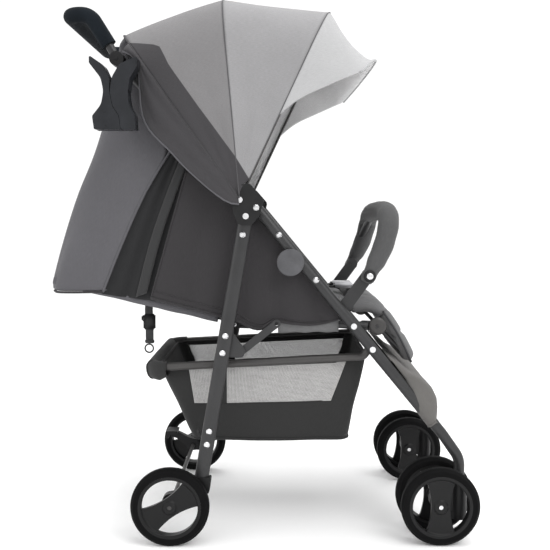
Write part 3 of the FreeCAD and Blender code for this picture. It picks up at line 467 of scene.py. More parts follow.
def block(name, centre, size, finish, round_by=3.0, tilt=0.0):
    """A moulded block with rounded edges, tilted about Y."""
    form = bmesh.new()
    bmesh.ops.create_cube(form, size=1.0)
    bmesh.ops.scale(form, vec=Vector(size) * MM, verts=form.verts)
    bmesh.ops.bevel(form, geom=list(form.edges), offset=round_by * MM, segments=3, affect="EDGES")
    cosine, sine = cos(tilt), sin(tilt)
    for vertex in form.verts:
        x, z = vertex.co.x, vertex.co.z
        vertex.co.x = x * cosine + z * sine
        vertex.co.z = z * cosine - x * sine
        vertex.co += centre
    mesh = bpy.data.meshes.new(name)
    form.to_mesh(mesh)
    form.free()
    mesh.materials.append(finish)
    return link(name, mesh)


def join(name, parts):
    """Joins separate meshes of one piece into one object."""
    depsgraph = bpy.context.evaluated_depsgraph_get()
    points, faces, marks, uvs, finishes = [], [], [], [], []
    for part in parts:
        mesh = bpy.data.meshes.new_from_object(part.evaluated_get(depsgraph))
        base = len(points)
        points += [part.matrix_world @ v.co for v in mesh.vertices]
        slots = []
        for finish in mesh.materials:
            if finish not in finishes:
                finishes.append(finish)
            slots.append(finishes.index(finish))
        layer = mesh.uv_layers[0].data if mesh.uv_layers else None
        for face in mesh.polygons:
            faces.append([base + v for v in face.vertices])
            marks.append(slots[face.material_index] if slots else 0)
            uvs += [tuple(layer[k].uv) if layer else (0.0, 0.0) for k in face.loop_indices]
        bpy.data.objects.remove(part)
    mesh = bpy.data.meshes.new(name)
    mesh.from_pydata(points, [], faces)
    layer = mesh.uv_layers.new(name="threads")
    for index, uv in enumerate(uvs):
        layer.data[index].uv = uv
    for finish in finishes:
        mesh.materials.append(finish)
    mesh.polygons.foreach_set("material_index", marks)
    return link(name, mesh)


def wander(point, scale, seed=0.0):
    """A smooth random value from about -1 to 1."""
    return noise.noise(Vector((point.x * scale + seed, point.y * scale, point.z * scale)))


def soft_fold(turns):
    """A round fold with a sharp valley beside it, from -1 to 1."""
    return 2.0 * abs(sin(turns)) ** 0.7 - 1.0


def between(pairs, value):
    """Reads a line of (value, result) pairs."""
    if value <= pairs[0][0]:
        return pairs[0][1]
    for (a, first), (b, second) in zip(pairs, pairs[1:]):
        if value <= b:
            return first + (second - first) * (value - a) / (b - a)
    return pairs[-1][1]


def along_line(points, share):
    """The point at a share of a line's length."""
    lengths = running(points)
    want = share * lengths[-1]
    for index in range(1, len(points)):
        if want <= lengths[index] + 1e-9:
            step = lengths[index] - lengths[index - 1]
            t = (want - lengths[index - 1]) / max(step, 1e-9)
            return points[index - 1].lerp(points[index], t)
    return points[-1]


STITCH_LONG, STITCH_GAP, STITCH_RADIUS = 3.2, 2.2, 0.35


def stitches(name, points, finish):
    """A row of sewn stitches along a line."""
    line = curve(points, 3.0)
    pitch = STITCH_LONG + STITCH_GAP
    count = max(1, int(running(line)[-1] / (pitch * MM)))
    verts, faces = [], []
    for k in range(count):
        start = along_line(line, (k + 0.15) / count)
        end = along_line(line, (k + 0.15 + STITCH_LONG / pitch) / count)
        along = (end - start).normalized()
        first = along.orthogonal().normalized() * STITCH_RADIUS * MM
        second = along.cross(first)
        base = len(verts)
        for share, grow in ((0.0, 0.5), (0.2, 1.0), (0.8, 1.0), (1.0, 0.5)):
            place = start.lerp(end, share)
            verts += [place + (first * cos(a) + second * sin(a)) * grow
                      for a in (0.0, pi / 2, pi, 3 * pi / 2)]
        for ring in range(3):
            for q in range(4):
                a, b = base + ring * 4 + q, base + ring * 4 + (q + 1) % 4
                faces.append((a, b, b + 4, a + 4))
        faces.append((base + 3, base + 2, base + 1, base))
        faces.append((base + 12, base + 13, base + 14, base + 15))
    mesh = bpy.data.meshes.new(name)
    mesh.from_pydata(verts, [], faces)
    mesh.materials.append(finish)
    return link(name, mesh)


def on_body(piece, body):
    """Lets a piece ride on a body."""
    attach(piece, body)
    return piece


def trim(name, line, radius, finish, body, sides=8):
    """A sewn edge, piping or hem along a line, on a body."""
    return on_body(tube(name, line, radius, M[finish], sides), body)


def mirrored(line):
    """The same line on the far side, run the other way."""
    return [Vector((p.x, -p.y, p.z)) for p in reversed(line)]


# --- Canopy ---

# Each rib's tilt, in degrees, and its reach from the pivot to the top.
RIBS = {"rear": (125.5, 400.0), "mid": (95.2, 397.0), "front": (64.9, 409.0), "visor": (46.5, 386.0)}
SHELL_Y = 213.5
CORNER = 92.0
CROWN_SLOPE = 0.26
CROWN_BEND = 400.0
REAR_FOOT = 3.0
FRONT_FOOT = 41.0
HALF_COUNT = 31
FLARE = 11.5
TAUT_FROM = SHELL_Y - CORNER + 20


def arch(top, foot, half):
    """Half of a rib's arch, from its foot up the side to the middle, as (reach, y) at even steps."""
    slope = atan(CROWN_SLOPE)
    turning = pi / 2 - slope
    eaves = top + CROWN_BEND * (1 / cos(slope) - 1) - CROWN_SLOPE * half
    shoulder = eaves - CORNER * tan(turning / 2)
    line = [Vector((0.0, half, 0.0))]
    for k in range(13):
        turn = turning * k / 12
        line.append(Vector((shoulder + CORNER * sin(turn), half - CORNER + CORNER * cos(turn), 0.0)))
    for k in range(13):
        turn = slope * (1 - k / 12)
        line.append(Vector((top - CROWN_BEND * (1 - cos(turn)), CROWN_BEND * sin(turn), 0.0)))
    kept = []
    for a, b in zip(line, line[1:]):
        if a.x < foot <= b.x:
            kept.append(a.lerp(b, (foot - a.x) / (b.x - a.x)))
        if b.x > foot:
            kept.append(b)
    return [along_line(kept, k / (HALF_COUNT - 1)) for k in range(HALF_COUNT)]


def flare(reach):
    """The cloth stands out at its foot to pass over the frame's housing."""
    return FLARE * max(0.0, 1.0 - reach / 120.0) ** 0.8


def polar(angle, reach, y):
    """A place at a reach from the canopy's pivot, at a tilt in degrees."""
    lean = radians(angle)
    return at(CANOPY[0] + reach * cos(lean), y, CANOPY[1] + reach * sin(lean))


def canopy_rows(first, second, foot, steps, sag, wrinkle, seed):
    """A panel between two ribs: taut at the ribs, dipping between them, with small folds.

    foot and sag are lines of (share of the way, millimetres)."""
    rows = []
    for r in range(steps + 1):
        t = r / steps
        angle = first[0] + (second[0] - first[0]) * t
        top = first[1] + (second[1] - first[1]) * t
        foot_here = between(foot, t)
        dip = 4 * t * (1 - t)
        half_row = arch(top - between(sag, t), foot_here, SHELL_Y - 3.0 * dip)
        lean = radians(angle)
        row = []
        full = [(p.x, -p.y - flare(p.x)) for p in half_row]
        full += [(p.x, p.y + flare(p.x)) for p in reversed(half_row[:-1])]
        for reach, y in full:
            p = polar(angle, reach, y)
            low = max(0.0, 1.0 - reach / 240.0)
            settle = min(1.0, max(0.0, reach - 40.0) / 70.0)
            fold = sin(t * pi * 5 + 2.0 * wander(p, 6.0, seed)) * low * dip * settle
            push = (wander(p, 11.0, seed) * wrinkle + wander(p, 30.0, seed + 5) * wrinkle * 0.4) * dip
            push = push * max(settle, 0.2) + fold * 3.0
            if abs(y) < TAUT_FROM:
                out = Vector((cos(lean), 0.0, sin(lean)))
            else:
                out = Vector((0.0, copysign(1.0, y), 0.0))
            row.append(p + out * push * MM)
        rows.append(row)
    return rows


def even_sag(depth):
    """The dip of a panel that hangs evenly between two ribs."""
    return [(k / 12, depth * 4 * k / 12 * (1 - k / 12)) for k in range(13)]


# The upper edge of the dark side band, as (x, z).
BAND = ((-300.0, 925.0), (-248.5, 920.0), (-198.0, 914.0), (-180.0, 911.0), (-162.0, 874.0),
        (-139.0, 842.0), (-109.0, 800.0), (-85.0, 768.0), (-61.0, 735.0), (-43.0, 711.0),
        (-19.0, 672.0), (6.0, 632.0))
BAND_INNER_Y = 0.1


def below_band(point):
    """How far a place lies below the edge of the dark side band, in metres; above it is negative."""
    x, z = point.x / MM, point.z / MM
    best, sign = 1e9, 1.0
    for (xa, za), (xb, zb) in zip(BAND, BAND[1:]):
        dx, dz = xb - xa, zb - za
        t = max(0.0, min(1.0, ((x - xa) * dx + (z - za) * dz) / (dx * dx + dz * dz)))
        away = hypot(x - xa - dx * t, z - za - dz * t)
        if away < best:
            best = away
            sign = 1.0 if dx * (z - za) - dz * (x - xa) < 0 else -1.0
    if abs(point.y) < BAND_INNER_Y:
        return -0.05
    return best * sign * MM


def mark_band(piece):
    """Stores each point's distance below the band's edge, for the cloth's colour."""
    layer = piece.data.attributes.new("band", "FLOAT", "POINT")
    layer.data.foreach_set("value", [below_band(v.co) for v in piece.data.vertices])


def blend_fold(piece):
    """Bakes a piece's placement into its mesh."""
    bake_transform(piece)


def canopy_piece(name, rows, depth, finish, node):
    """A lined canopy panel that stands for a CAD node."""
    piece = thick(grid(name, [row[::-1] for row in rows], [M[finish]]), depth, -1.0, 1, M["lining"])
    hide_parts(node)
    return piece


PANEL_STEPS = 14
LOW_FOOT, RISING_FOOT = [(0, REAR_FOOT), (1, REAR_FOOT)], [(0, REAR_FOOT), (1, FRONT_FOOT)]
rear_rows = canopy_rows(RIBS["rear"], RIBS["mid"], LOW_FOOT, PANEL_STEPS, even_sag(9.0), 1.8, 3.0)
rear_panel = canopy_piece("canopy_rear", rear_rows, 1.4, "canopy_rear", "canopy_rear_panel")
mark_band(rear_panel)
blend_fold(rear_panel)

front_rows = canopy_rows(RIBS["mid"], RIBS["front"], RISING_FOOT, PANEL_STEPS, even_sag(16.0), 1.5, 9.0)
front_panel = canopy_piece("canopy_front", front_rows, 1.4, "canopy_front", "canopy_front_panel")
mark_band(front_panel)
blend_fold(front_panel)

VISOR_FOOT = [(0, 165.0), (0.29, 207.0), (0.61, 246.0), (0.8, 276.0), (1, 316.0)]
VISOR_SAG = [(0, 0.0), (0.25, 13.0), (0.56, 20.0), (0.8, 17.0), (0.92, 12.5), (1, 3.0)]
visor_rows = canopy_rows(RIBS["front"], RIBS["visor"], VISOR_FOOT, PANEL_STEPS, VISOR_SAG, 2.2, 15.0)
visor = canopy_piece("canopy_peak", visor_rows, 1.6, "visor", "canopy_visor")
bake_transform(visor)

# Seams over the ribs, sewn to the panel ahead of each.
seams = (
    ("seam_mid", rear_rows[-1], ("frame", "canopy_mid"), "rear", "mid", "rib_seam", 0.8),
    ("seam_front", front_rows[-1], ("canopy_mid", "canopy_front"), "mid", "front", "rib_seam", 0.8),
    ("seam_rear", rear_rows[0], ("frame", "canopy_mid"), "rear", "mid", "band", 1.8),
)
for name, line, bodies, first, second, finish, radius in seams:
    piece = tube(name, line, radius, M[finish], 8)
    blend_fold(piece)
trim("peak_edge", visor_rows[-1], 2.5, "visor", "canopy_visor", 10)

# The dark side flap hangs from the canopy's rear edge over the handle tube.
FLAP_LOW = ((128.4, 339.5), (126.9, 306.6), (140.2, 225.0), (145.4, 149.5), (149.6, 112.5), (158.0, 66.0),
            (172.0, 36.0), (190.0, 22.0), (215.0, 13.0), (265.0, 8.0))
FLAP_TOP = 352.0
FLAP_Y = 203.0
WEB_Y = 167.0
WEB_ROWS = 19
for word, side in SIDES.items():
    upper_line = []
    for p in reversed(rear_rows[0][:HALF_COUNT]):
        if hypot(p.x / MM - CANOPY[0], p.z / MM - CANOPY[1]) < FLAP_TOP:
            upper_line.append(Vector((p.x, -side * p.y, p.z)))
    lower_line = curve([polar(angle, reach, side * (FLAP_Y + 2.0 * flare(reach)))
                        for angle, reach in FLAP_LOW], 5.0)

    def flap_point(t, s):
        p = along_line(upper_line, t).lerp(along_line(lower_line, t), s)
        belly = sin(s * pi) * 5.0 * (1 - t)
        belly += (1.0 + soft_fold(s * 6.5 + t * 3.4)) * 2.6 * (1 - abs(2 * t - 1) ** 2)
        belly += wander(p, 16.0, 30.0) * 2.4 * s * (1 - 0.8 * t)
        return p + at(0.0, side * belly, 0.0)

    rows = surface(26, 8, flap_point)
    flap = thick(grid(f"side_flap_{word}", rows, [M["band"]]), 1.4, 0.0)
    on_body(flap, "frame")
    # A narrow web closes the gap between the flap's lower edge and the cloth inside it; its near-black cloth is
    # painted shade.
    web_rows = []
    for row in rows[:WEB_ROWS]:
        edge = row[-1]
        inner = Vector((edge.x, side * WEB_Y * MM, edge.z))
        web_rows.append([edge.lerp(inner, c / 6) + at(0.0, 0.0, 4.0 * sin(pi * c / 6))
                         for c in range(7)])
    web = thick(grid(f"flap_web_{word}", web_rows, [M["inside"]]), 1.2, 0.0)
    on_body(web, "frame")
    trim(f"flap_hem_{word}", [row[-1] for row in rows], 1.7, "back", "frame")

# --- Head wall ---

# Height, x at the side edge, x at the back, and the corner's radius, from the hem up.
HEAD_LEVELS = ((462.0, -296.0, -392.0, 30.0), (470.0, -293.0, -398.0, 32.0), (515.0, -275.0, -387.0, 36.0),
               (560.0, -256.0, -375.5, 42.0), (605.0, -236.0, -362.0, 48.0), (650.0, -214.0, -349.0, 54.0),
               (690.0, -190.0, -335.0, 58.0), (724.0, -168.0, -323.0, 60.0), (762.0, -186.0, -309.0, 56.0),
               (800.0, -204.0, -294.0, 48.0), (840.0, -217.0, -283.0, 40.0), (880.0, -229.0, -272.0, 34.0),
               (915.0, -240.0, -265.0, 22.0))
HEAD_HALF = 166.0
HEAD_COUNT = 61
HEAD_MIDDLE = -250.0


def round_u(side_x, rear_x, corner, z):
    """A U from the near side round the back to the far side, with round corners, at even steps."""
    corner = min(corner, abs(side_x - rear_x) - 2.0)
    line = [at(side_x, -HEAD_HALF, z)]
    for k in range(13):
        a = pi / 2 * k / 12
        line.append(at(rear_x + corner - corner * sin(a), -HEAD_HALF + corner - corner * cos(a), z))
    line += mirrored(line)
    return [along_line(line, k / (HEAD_COUNT - 1)) for k in range(HEAD_COUNT)]


REAR_REACH = [(-p.y, p.x) for p in arch(RIBS["rear"][1], 40.0, SHELL_Y)]
head_rows = []
for z, side_x, rear_x, corner in HEAD_LEVELS:
    row = round_u(side_x, rear_x, corner, z)
    bottom = max(0.0, (760.0 - z) / 300.0)
    changed = []
    for index, p in enumerate(row):
        share = index / (len(row) - 1)
        edge = min(1.0, min(share, 1 - share) * 12)
        fold = soft_fold(share * 17.0 + 1.6 * wander(p, 4.0, 2.0)) * 4.6 * bottom
        fold += wander(p, 9.0, 8.0) * 7.0
        out = Vector((p.x - HEAD_MIDDLE * MM, p.y, 0.0)).normalized()
        changed.append(p + out * fold * edge * MM * min(1.0, (930.0 - z) / 60.0))
    head_rows.append(changed)
# Its top is sewn to the canopy's rear edge, over two more rows.
for lift in (0.5, 1.0):
    row = []
    for p in head_rows[len(HEAD_LEVELS) - 1]:
        y = p.y / MM
        goal = polar(RIBS["rear"][0] + 0.2, between(REAR_REACH, -abs(y)) - 2.5, y)
        row.append(p.lerp(goal, lift) - at(3.0 if lift < 1 else 0.0, 0.0, 0.0))
    head_rows.append(row)
tuck = [Vector((p.x + 0.012, p.y * 0.95, p.z + 0.006)) for p in head_rows[0]]
head_rows.insert(0, tuck)
head_wall = thick(grid("head_wall_cover", head_rows, [M["back"]]), 1.6, 1.0)
on_body(head_wall, "frame")


def follow_recline(piece):
    """Gives a piece a mesh of its own."""
    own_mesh(piece)


follow_recline(head_wall)
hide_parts("head_wall")
for word, column in (("near", 0), ("far", HEAD_COUNT - 1)):
    line = [row[column] for row in head_rows[1:]]
    follow_recline(trim(f"head_piping_{word}", line, 2.2, "back", "frame"))
follow_recline(trim("head_hem", head_rows[1], 2.2, "side", "frame"))

# A pleated gusset inside each opening beside the seat back, with a strap down its middle; the gusset's near-black
# cloth is painted shade for the shadowed opening.
GUSSET_REAR = ((-300, 458), (-275, 515), (-256, 560), (-236, 605), (-214, 650), (-190, 690), (-166, 722))
GUSSET_FRONT = ((-196, 444), (-184, 492), (-172, 532), (-160, 572), (-150, 612), (-142, 652), (-138, 704))
INNER_STRAP = ((-141, 168, 708), (-168, 168.5, 640), (-196, 168.5, 560), (-224, 168, 456))
for word, side in SIDES.items():
    rear_line = curve([at(x, side * 163, z) for x, z in GUSSET_REAR], 8.0)
    front_line = curve([at(x, side * 166, z) for x, z in GUSSET_FRONT], 8.0)

    def gusset_point(t, s):
        pleat = 3.5 * sin(s * 17.0 + t * 2.0) * sin(s * pi) ** 0.5
        inward = side * (3.5 * sin(s * pi) + pleat)
        return along_line(rear_line, t).lerp(along_line(front_line, t), s) - at(0.0, inward, 0.0)

    rows = surface(30, 24, gusset_point)
    gusset = thick(grid(f"side_gusset_{word}", rows, [M["inside"]]), 1.2, 0.0)
    on_body(gusset, "frame")
    follow_recline(gusset)
    line = curve([at(x, side * y, z) for x, y, z in INNER_STRAP], 12.0)
    strap = tape(f"inner_strap_{word}", line, 22.0, M["webbing"], Vector((0.94, 0.0, 0.34)), 1.6)
    on_body(strap, "frame")
    follow_recline(strap)

# --- Side walls ---

WALL_TOP = ((-136, 690), (-112, 672), (-84, 650), (-56, 630), (-30, 616), (-4, 608), (30, 571), (70, 522),
            (110, 473), (155, 421))
WALL_HEM = ((-205, 451), (-168, 442), (-132, 433), (-92, 423), (-50, 412), (-20, 397), (2, 394), (24, 408),
            (60, 404), (95, 402), (125, 406), (150, 414))
WALL_Y = 173.2
top_line = curve([at(x, 0, z) for x, z in WALL_TOP], 6.0)
hem_line = curve([at(x, 0, z) for x, z in WALL_HEM], 6.0)


def crumple(piece):
    """Gives a piece a mesh of its own."""
    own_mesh(piece)


for word, side in SIDES.items():

    def wall_point(t, s):
        p = along_line(hem_line, s).lerp(along_line(top_line, s), t)
        fold = soft_fold(s * 13.5 + 1.1 * sin(t * 2.6)) * 3.4 + wander(p, 15.0, 4.0) * 3.4
        fold += 3.5 * exp(-((s - 0.62 + 0.1 * t) / 0.03) ** 2)
        return Vector((p.x, side * (WALL_Y + fold * (1.0 - 0.75 * t)) * MM, p.z))

    rows = surface(24, 48, wall_point)
    wall = thick(grid(f"side_wall_cover_{word}", rows, [M["side"]]), 1.5, 0.0)
    on_body(wall, "frame")
    crumple(wall)
    if side < 0:
        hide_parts("side_walls")
    stitched = [p.lerp(q, 0.5) for p, q in zip(rows[1], rows[2])]
    rear_edge = [row[0] for row in rows]
    for tag, line, radius in (
        ("hem", rows[0], 2.6), ("hem_upper", stitched, 1.1), ("rear_edge", rear_edge, 1.5),
    ):
        lifted = [p + at(0.0, side, 0.0) for p in line]
        crumple(trim(f"side_wall_{tag}_{word}", lifted, radius, "side", "frame"))

# --- Seat ---


BACK_SLOPE = radians(13.0)


def back_place(distance, height, y):
    """A place at a distance up the seat back and a height over it."""
    cosine, sine = cos(BACK_SLOPE), sin(BACK_SLOPE)
    return at(BACK[0] - cosine * distance + sine * height, y, BACK[1] + sine * distance + cosine * height)


PUFF_STEPS = 16
PUFF_PRESSURE = 3.5
PUFF_CLOTH = {
    "quality": 6, "mass": 0.2, "tension_stiffness": 18.0, "compression_stiffness": 18.0,
    "shear_stiffness": 6.0, "bending_stiffness": 0.6, "use_pressure": True,
    "uniform_pressure_force": PUFF_PRESSURE, "vertex_group_mass": "sewn", "pin_stiffness": 1.0,
}


def puff(piece, sewn, cap):
    """Blows a closed sewn shell up with Blender's cloth, and keeps each point within cap of its start."""
    start = [v.co.copy() for v in piece.data.vertices]
    group = piece.vertex_groups.new(name="sewn")
    group.add(sewn, 1.0, "REPLACE")
    modifier = piece.modifiers.new("cloth", "CLOTH")
    for key, value in PUFF_CLOTH.items():
        setattr(modifier.settings, key, value)
    modifier.settings.effector_weights.gravity = 0.0
    modifier.point_cache.frame_start = 1
    modifier.point_cache.frame_end = PUFF_STEPS
    scene = bpy.context.scene
    for number in range(1, PUFF_STEPS + 1):
        scene.frame_set(number)
    shaped = bpy.data.meshes.new_from_object(piece.evaluated_get(bpy.context.evaluated_depsgraph_get()))
    ends = [v.co.copy() for v in shaped.vertices]
    piece.modifiers.remove(modifier)
    scene.frame_set(1)
    for vertex, old, new in zip(piece.data.vertices, start, ends):
        step = new - old
        if step.length > cap * MM:
            step *= cap * MM / step.length
        vertex.co = old + step


PAD_COLUMNS = 40


def pinch(share, places, width):
    """How much of a pad's height is left near its sewn lines."""
    left = 1.0
    for place in places:
        left *= 1.0 - 0.55 * exp(-((share - place) / width) ** 2)
    return left


def pad(name, middle, normal, thickness, width, channels, rows=36, crossings=(), cap=7.0, seed=0.0):
    """A stuffed pad round a middle line: a closed sewn shell, pinched at its edge and along its channels.

    middle is the line of centres, normal the way up at each place of it, thickness a line of
    (share of the length, millimetres), channels the shares of its length where it is sewn
    across, and crossings the shares of its width sewn along. It gives the pad and its rim."""
    columns = PAD_COLUMNS
    verts, sewn, index_of = [], [], {}
    for layer in (1.0, -1.0):
        for r in range(rows + 1):
            s = r / rows
            centre = along_line(middle, s)
            lift = normal(s)
            half = between(thickness, s) / 2
            for c in range(columns + 1):
                t = c / columns
                rim = r in (0, rows) or c in (0, columns)
                if layer < 0 and rim:
                    index_of[(layer, r, c)] = index_of[(1.0, r, c)]
                    continue
                y = (t - 0.5) * width * (1.0 - 0.012 * sin(pi * s))
                p = centre + Vector((0.0, y * MM, 0.0))
                if not rim:
                    edge_s = min(1.0, min(s, 1 - s) * 9.0)
                    edge_t = min(1.0, min(t, 1 - t) * 11.0)
                    rise = (1 - (1 - edge_s) ** 2.4) ** 0.45 * (1 - (1 - edge_t) ** 2.4) ** 0.45
                    rise *= pinch(s, channels, 0.016) * pinch(t, crossings, 0.018) * half
                    p += lift * layer * rise * MM
                    p += lift * wander(p, 14.0, seed) * 0.8 * MM
                index_of[(layer, r, c)] = len(verts)
                if (rim or any(abs(s - q) < 0.55 / rows for q in channels)
                        or any(abs(t - q) < 0.55 / columns for q in crossings)):
                    sewn.append(len(verts))
                verts.append(p)
    faces, uvs = [], []
    for layer in (1.0, -1.0):
        for r in range(rows):
            for c in range(columns):
                corners = [(c, r), (c + 1, r), (c + 1, r + 1), (c, r + 1)]
                if layer > 0:
                    corners.reverse()
                faces.append([index_of[(layer, row, column)] for column, row in corners])
                uvs += corners
    mesh = bpy.data.meshes.new(name)
    mesh.from_pydata(verts, [], faces)
    total = running(middle)[-1]
    layer = mesh.uv_layers.new(name="threads")
    for index, (c, r) in enumerate(uvs):
        layer.data[index].uv = (c / columns * width * MM, r / rows * total)
    mesh.materials.append(M["seat"])
    piece = link(name, mesh)
    puff(piece, sewn, cap)
    soften(piece)
    round_rim = [(0, c) for c in range(columns + 1)] + [(r, columns) for r in range(1, rows + 1)]
    round_rim += [(rows, c) for c in range(columns - 1, -1, -1)] + [(r, 0) for r in range(rows - 1, -1, -1)]
    return piece, [verts[index_of[(1.0, r, c)]] for r, c in round_rim]


def cushion(made, body, node, radius):
    """Puts a pad with its piping on a body, for a CAD node."""
    piece, rim = made
    on_body(piece, body)
    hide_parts(node)
    trim(piece.name + "_piping", rim, radius, "seat_piping", body)


def straight_up(_share):
    return Vector((0.0, 0.0, 1.0))


def back_up(_share):
    return Vector((sin(BACK_SLOPE), 0.0, cos(BACK_SLOPE)))


def leaning(first, change):
    """The way up along a pad that turns from one angle, in degrees, by a change."""
    def way(share):
        turn = radians(first + change * share)
        return Vector((cos(turn), 0.0, sin(turn)))
    return way


SIDE_SEAMS = (0.16, 0.84)
SEAT_LINE = ((-24, 434), (40, 436), (110, 436), (174, 434))
seat_line = curve([at(x, 0, z) for x, z in SEAT_LINE], 8.0)
seat_made = pad("seat_pad", seat_line, straight_up, [(0, 20.0)], 316.0, (0.33, 0.66), crossings=(0.2, 0.8))
cushion(seat_made, "seat", "seat_cushion", 2.4)

back_line = [back_place(d, 15.0, 0.0) for d in range(14, 320, 12)]
back_made = pad("back_pad", back_line, back_up, [(0, 17.0)], 304.0, (0.25, 0.5, 0.75),
                crossings=(0.14, 0.86), seed=7.0)
cushion(back_made, "backrest", "backrest_cushion", 2.4)

CALF_DEPTH = [(0, 22.0), (0.6, 24.0), (1, 27.0)]
CALF_LINE = ((233, 423), (250, 399), (265, 374), (277, 350), (287, 328))
calf_line = curve([at(x, 0, z) for x, z in CALF_LINE], 8.0)
calf_made = pad("calf_pad", calf_line, leaning(35.0, -12.0), CALF_DEPTH, 302.0, (0.5,), rows=20,
                crossings=SIDE_SEAMS, seed=12.0, cap=5.0)
cushion(calf_made, "legrest", "legrest_pad", 2.2)

# The soft front edge that carries the seat's cloth over to the calf pad.
APRON_DEPTH = [(0, 34.0), (0.4, 34.0), (0.75, 28.0), (1, 22.0)]
APRON_LINE = ((168, 436), (184, 436), (202, 436), (219, 431), (236, 417))
apron_line = curve([at(x, 0, z) for x, z in APRON_LINE], 5.0)
apron, _ = pad("seat_apron", apron_line, leaning(95.0, -55.0), APRON_DEPTH, 304.0, (), rows=12,
               crossings=SIDE_SEAMS, seed=21.0, cap=4.0)
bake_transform(apron)

# A round cover over each hinge of the legrest, and the cloth sleeves round the back and seat rails.
for word, side in SIDES.items():
    line = [at(LEGREST[0], side * y, LEGREST[1]) for y in (159.6, 162.5, 164.2, 164.8)]
    trim(f"legrest_hub_{word}", line, [17.0, 17.0, 15.0, 11.0], "rail_metal", "seat", 32)
for word, side in SIDES.items():
    line = [back_place(d, -0.5, side * 149.0) for d in range(10, 338, 8)]
    radii = [9.8 + 0.3 * sin(k * 0.7) + 0.5 * wander(p, 25.0, 9.0) for k, p in enumerate(line)]
    trim(f"back_sleeve_{word}", line, radii, "back", "backrest", 18)
for word, side in SIDES.items():
    line = [at(x, side * 160.5, 401.5 + (x - 33) * 0.012) for x in range(33, 150, 6)]
    radii = [9.6 + 0.55 * sin(k * 0.9) for k in range(len(line))]
    radii[0] += 0.8
    radii[-1] += 0.8
    sleeve = tube(f"rail_sleeve_{word}", line, radii, M["seat"], 20, flat=1.75)
    on_body(sleeve, "seat")

# --- Harness ---

for word, side in SIDES.items():
    shoulder = curve([back_place(262, 24.0, side * 62), back_place(200, 27.0, side * 60),
                      back_place(120, 27.0, side * 52), back_place(40, 27.0, side * 40),
                      at(-30, side * 32, 462), at(60, side * 20, 462), at(128, side * 9, 463)], 9.0)
    strap = tape(f"shoulder_strap_{word}", shoulder, 25.0, M["webbing"])
    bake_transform(strap)
    cover_line = [back_place(d, 30.0, side * (60.0 - (200 - d) * 0.07)) for d in range(200, 70, -10)]
    radii = [20.0 + 2.0 * sin(pi * k / 12) for k in range(13)]
    cover = tube(f"shoulder_pad_{word}", cover_line, radii, M["seat"], 20, flat=0.28)
    on_body(cover, "backrest")
    waist = curve([at(-40, side * 104, 452), at(10, side * 90, 459), at(80, side * 52, 462),
                   at(144, side * 14, 462)], 9.0)
    strap = tape(f"waist_strap_{word}", waist, 25.0, M["webbing"], Vector((0.4, 0.92 * side, 0.0)))
    on_body(strap, "seat")
crotch = curve([at(196, 0, 455), at(186, 0, 461), at(170, 0, 462)], 5.0)
on_body(tape("crotch_strap", crotch, 30.0, M["webbing"]), "seat")
buckle = join("harness_buckle", [
    block("buckle_body", at(164, 0, 464), (44, 46, 12), M["buckle"], 4.0),
    block("buckle_ends", at(146, 0, 463), (14, 50, 9), M["black_plastic"], 3.0),
])
on_body(buckle, "seat")

# --- Bumper and handle ---

# Half of the bar as (x, z, y), and its radius along its length, both from the pivot.
BUMPER_HALF = ((195, 483, 193.8), (201, 495, 193.8), (208, 509, 192.5), (217, 526, 189.8),
               (228, 552, 189.5), (235, 578, 187), (238, 594, 178), (239, 605, 160),
               (240, 611, 132), (241, 613.5, 90), (242, 614.5, 45), (242, 615, 0))
BUMPER_SWELL = ((0, 9.5), (5, 12.8), (26, 13.6), (40, 16.5), (60, 18.5), (110, 19.5), (600, 19.5))
near_half = [at(x, -y, z) for x, z, y in BUMPER_HALF]
bumper_line = curve(near_half + mirrored(near_half[:-1]), 7.0)
lengths = running(bumper_line)
bumper_radii = []
for here, run in zip(bumper_line, lengths):
    share = min(run, lengths[-1] - run) / MM
    swell = between(BUMPER_SWELL, share)
    bumper_radii.append(swell + 0.35 * sin(run / MM * 0.19) + 0.5 * wander(here, 30.0, 6.0))
bumper_cover = tube("bumper_cover", bumper_line, bumper_radii, M["bumper"], 28)
on_body(bumper_cover, "bumper")
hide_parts("bumper_pad")
seam_line = [p + Vector((-0.6, 0.0, -0.8)) * (r * 0.98 * MM) for p, r in zip(bumper_line, bumper_radii)]
seam = stitches("bumper_seam", seam_line[6:-6:4], M["thread"])
on_body(seam, "bumper")
for word, side in SIDES.items():
    knob = join(f"bumper_button_{word}", [
        tube("k1", [at(BUMPER[0], side * y, BUMPER[1]) for y in (205.7, 207.5, 209.2, 210.2, 210.6)],
             [11.5, 11.5, 10.8, 8.5, 4.0], M["black_plastic"], 28),
        tube("k2", [at(BUMPER[0], side * y, BUMPER[1]) for y in (209.4, 211.6, 212.4, 212.7)],
             [6.2, 6.2, 5.0, 2.4], M["steel"], 24),
    ])
    on_body(knob, "bumper")

# --- Basket ---

# The bag at its floor and at its rim: x behind, x ahead, height, half the width.
BAG_LOW = (-134.0, 168.0, 177.0, 138.0)
BAG_HIGH = (-196.0, 203.0, 327.0, 153.0)
# The net's left and right edge on each side, at the floor and at the rim.
NEAR_EDGES = ((-118.0, -138.0), (107.0, 166.0))
FAR_EDGES = ((-134.0, -185.0), (112.0, 190.0))
FRONT_ROUND, REAR_ROUND = 20.0, 22.0
STRIP = (-82.0, -65.0)
BAG_ROWS = 19
WINDOW_ROWS = (9, 18)
ACROSS = 16
QUARTER = [pi / 2 * k / 4 for k in range(1, 4)]


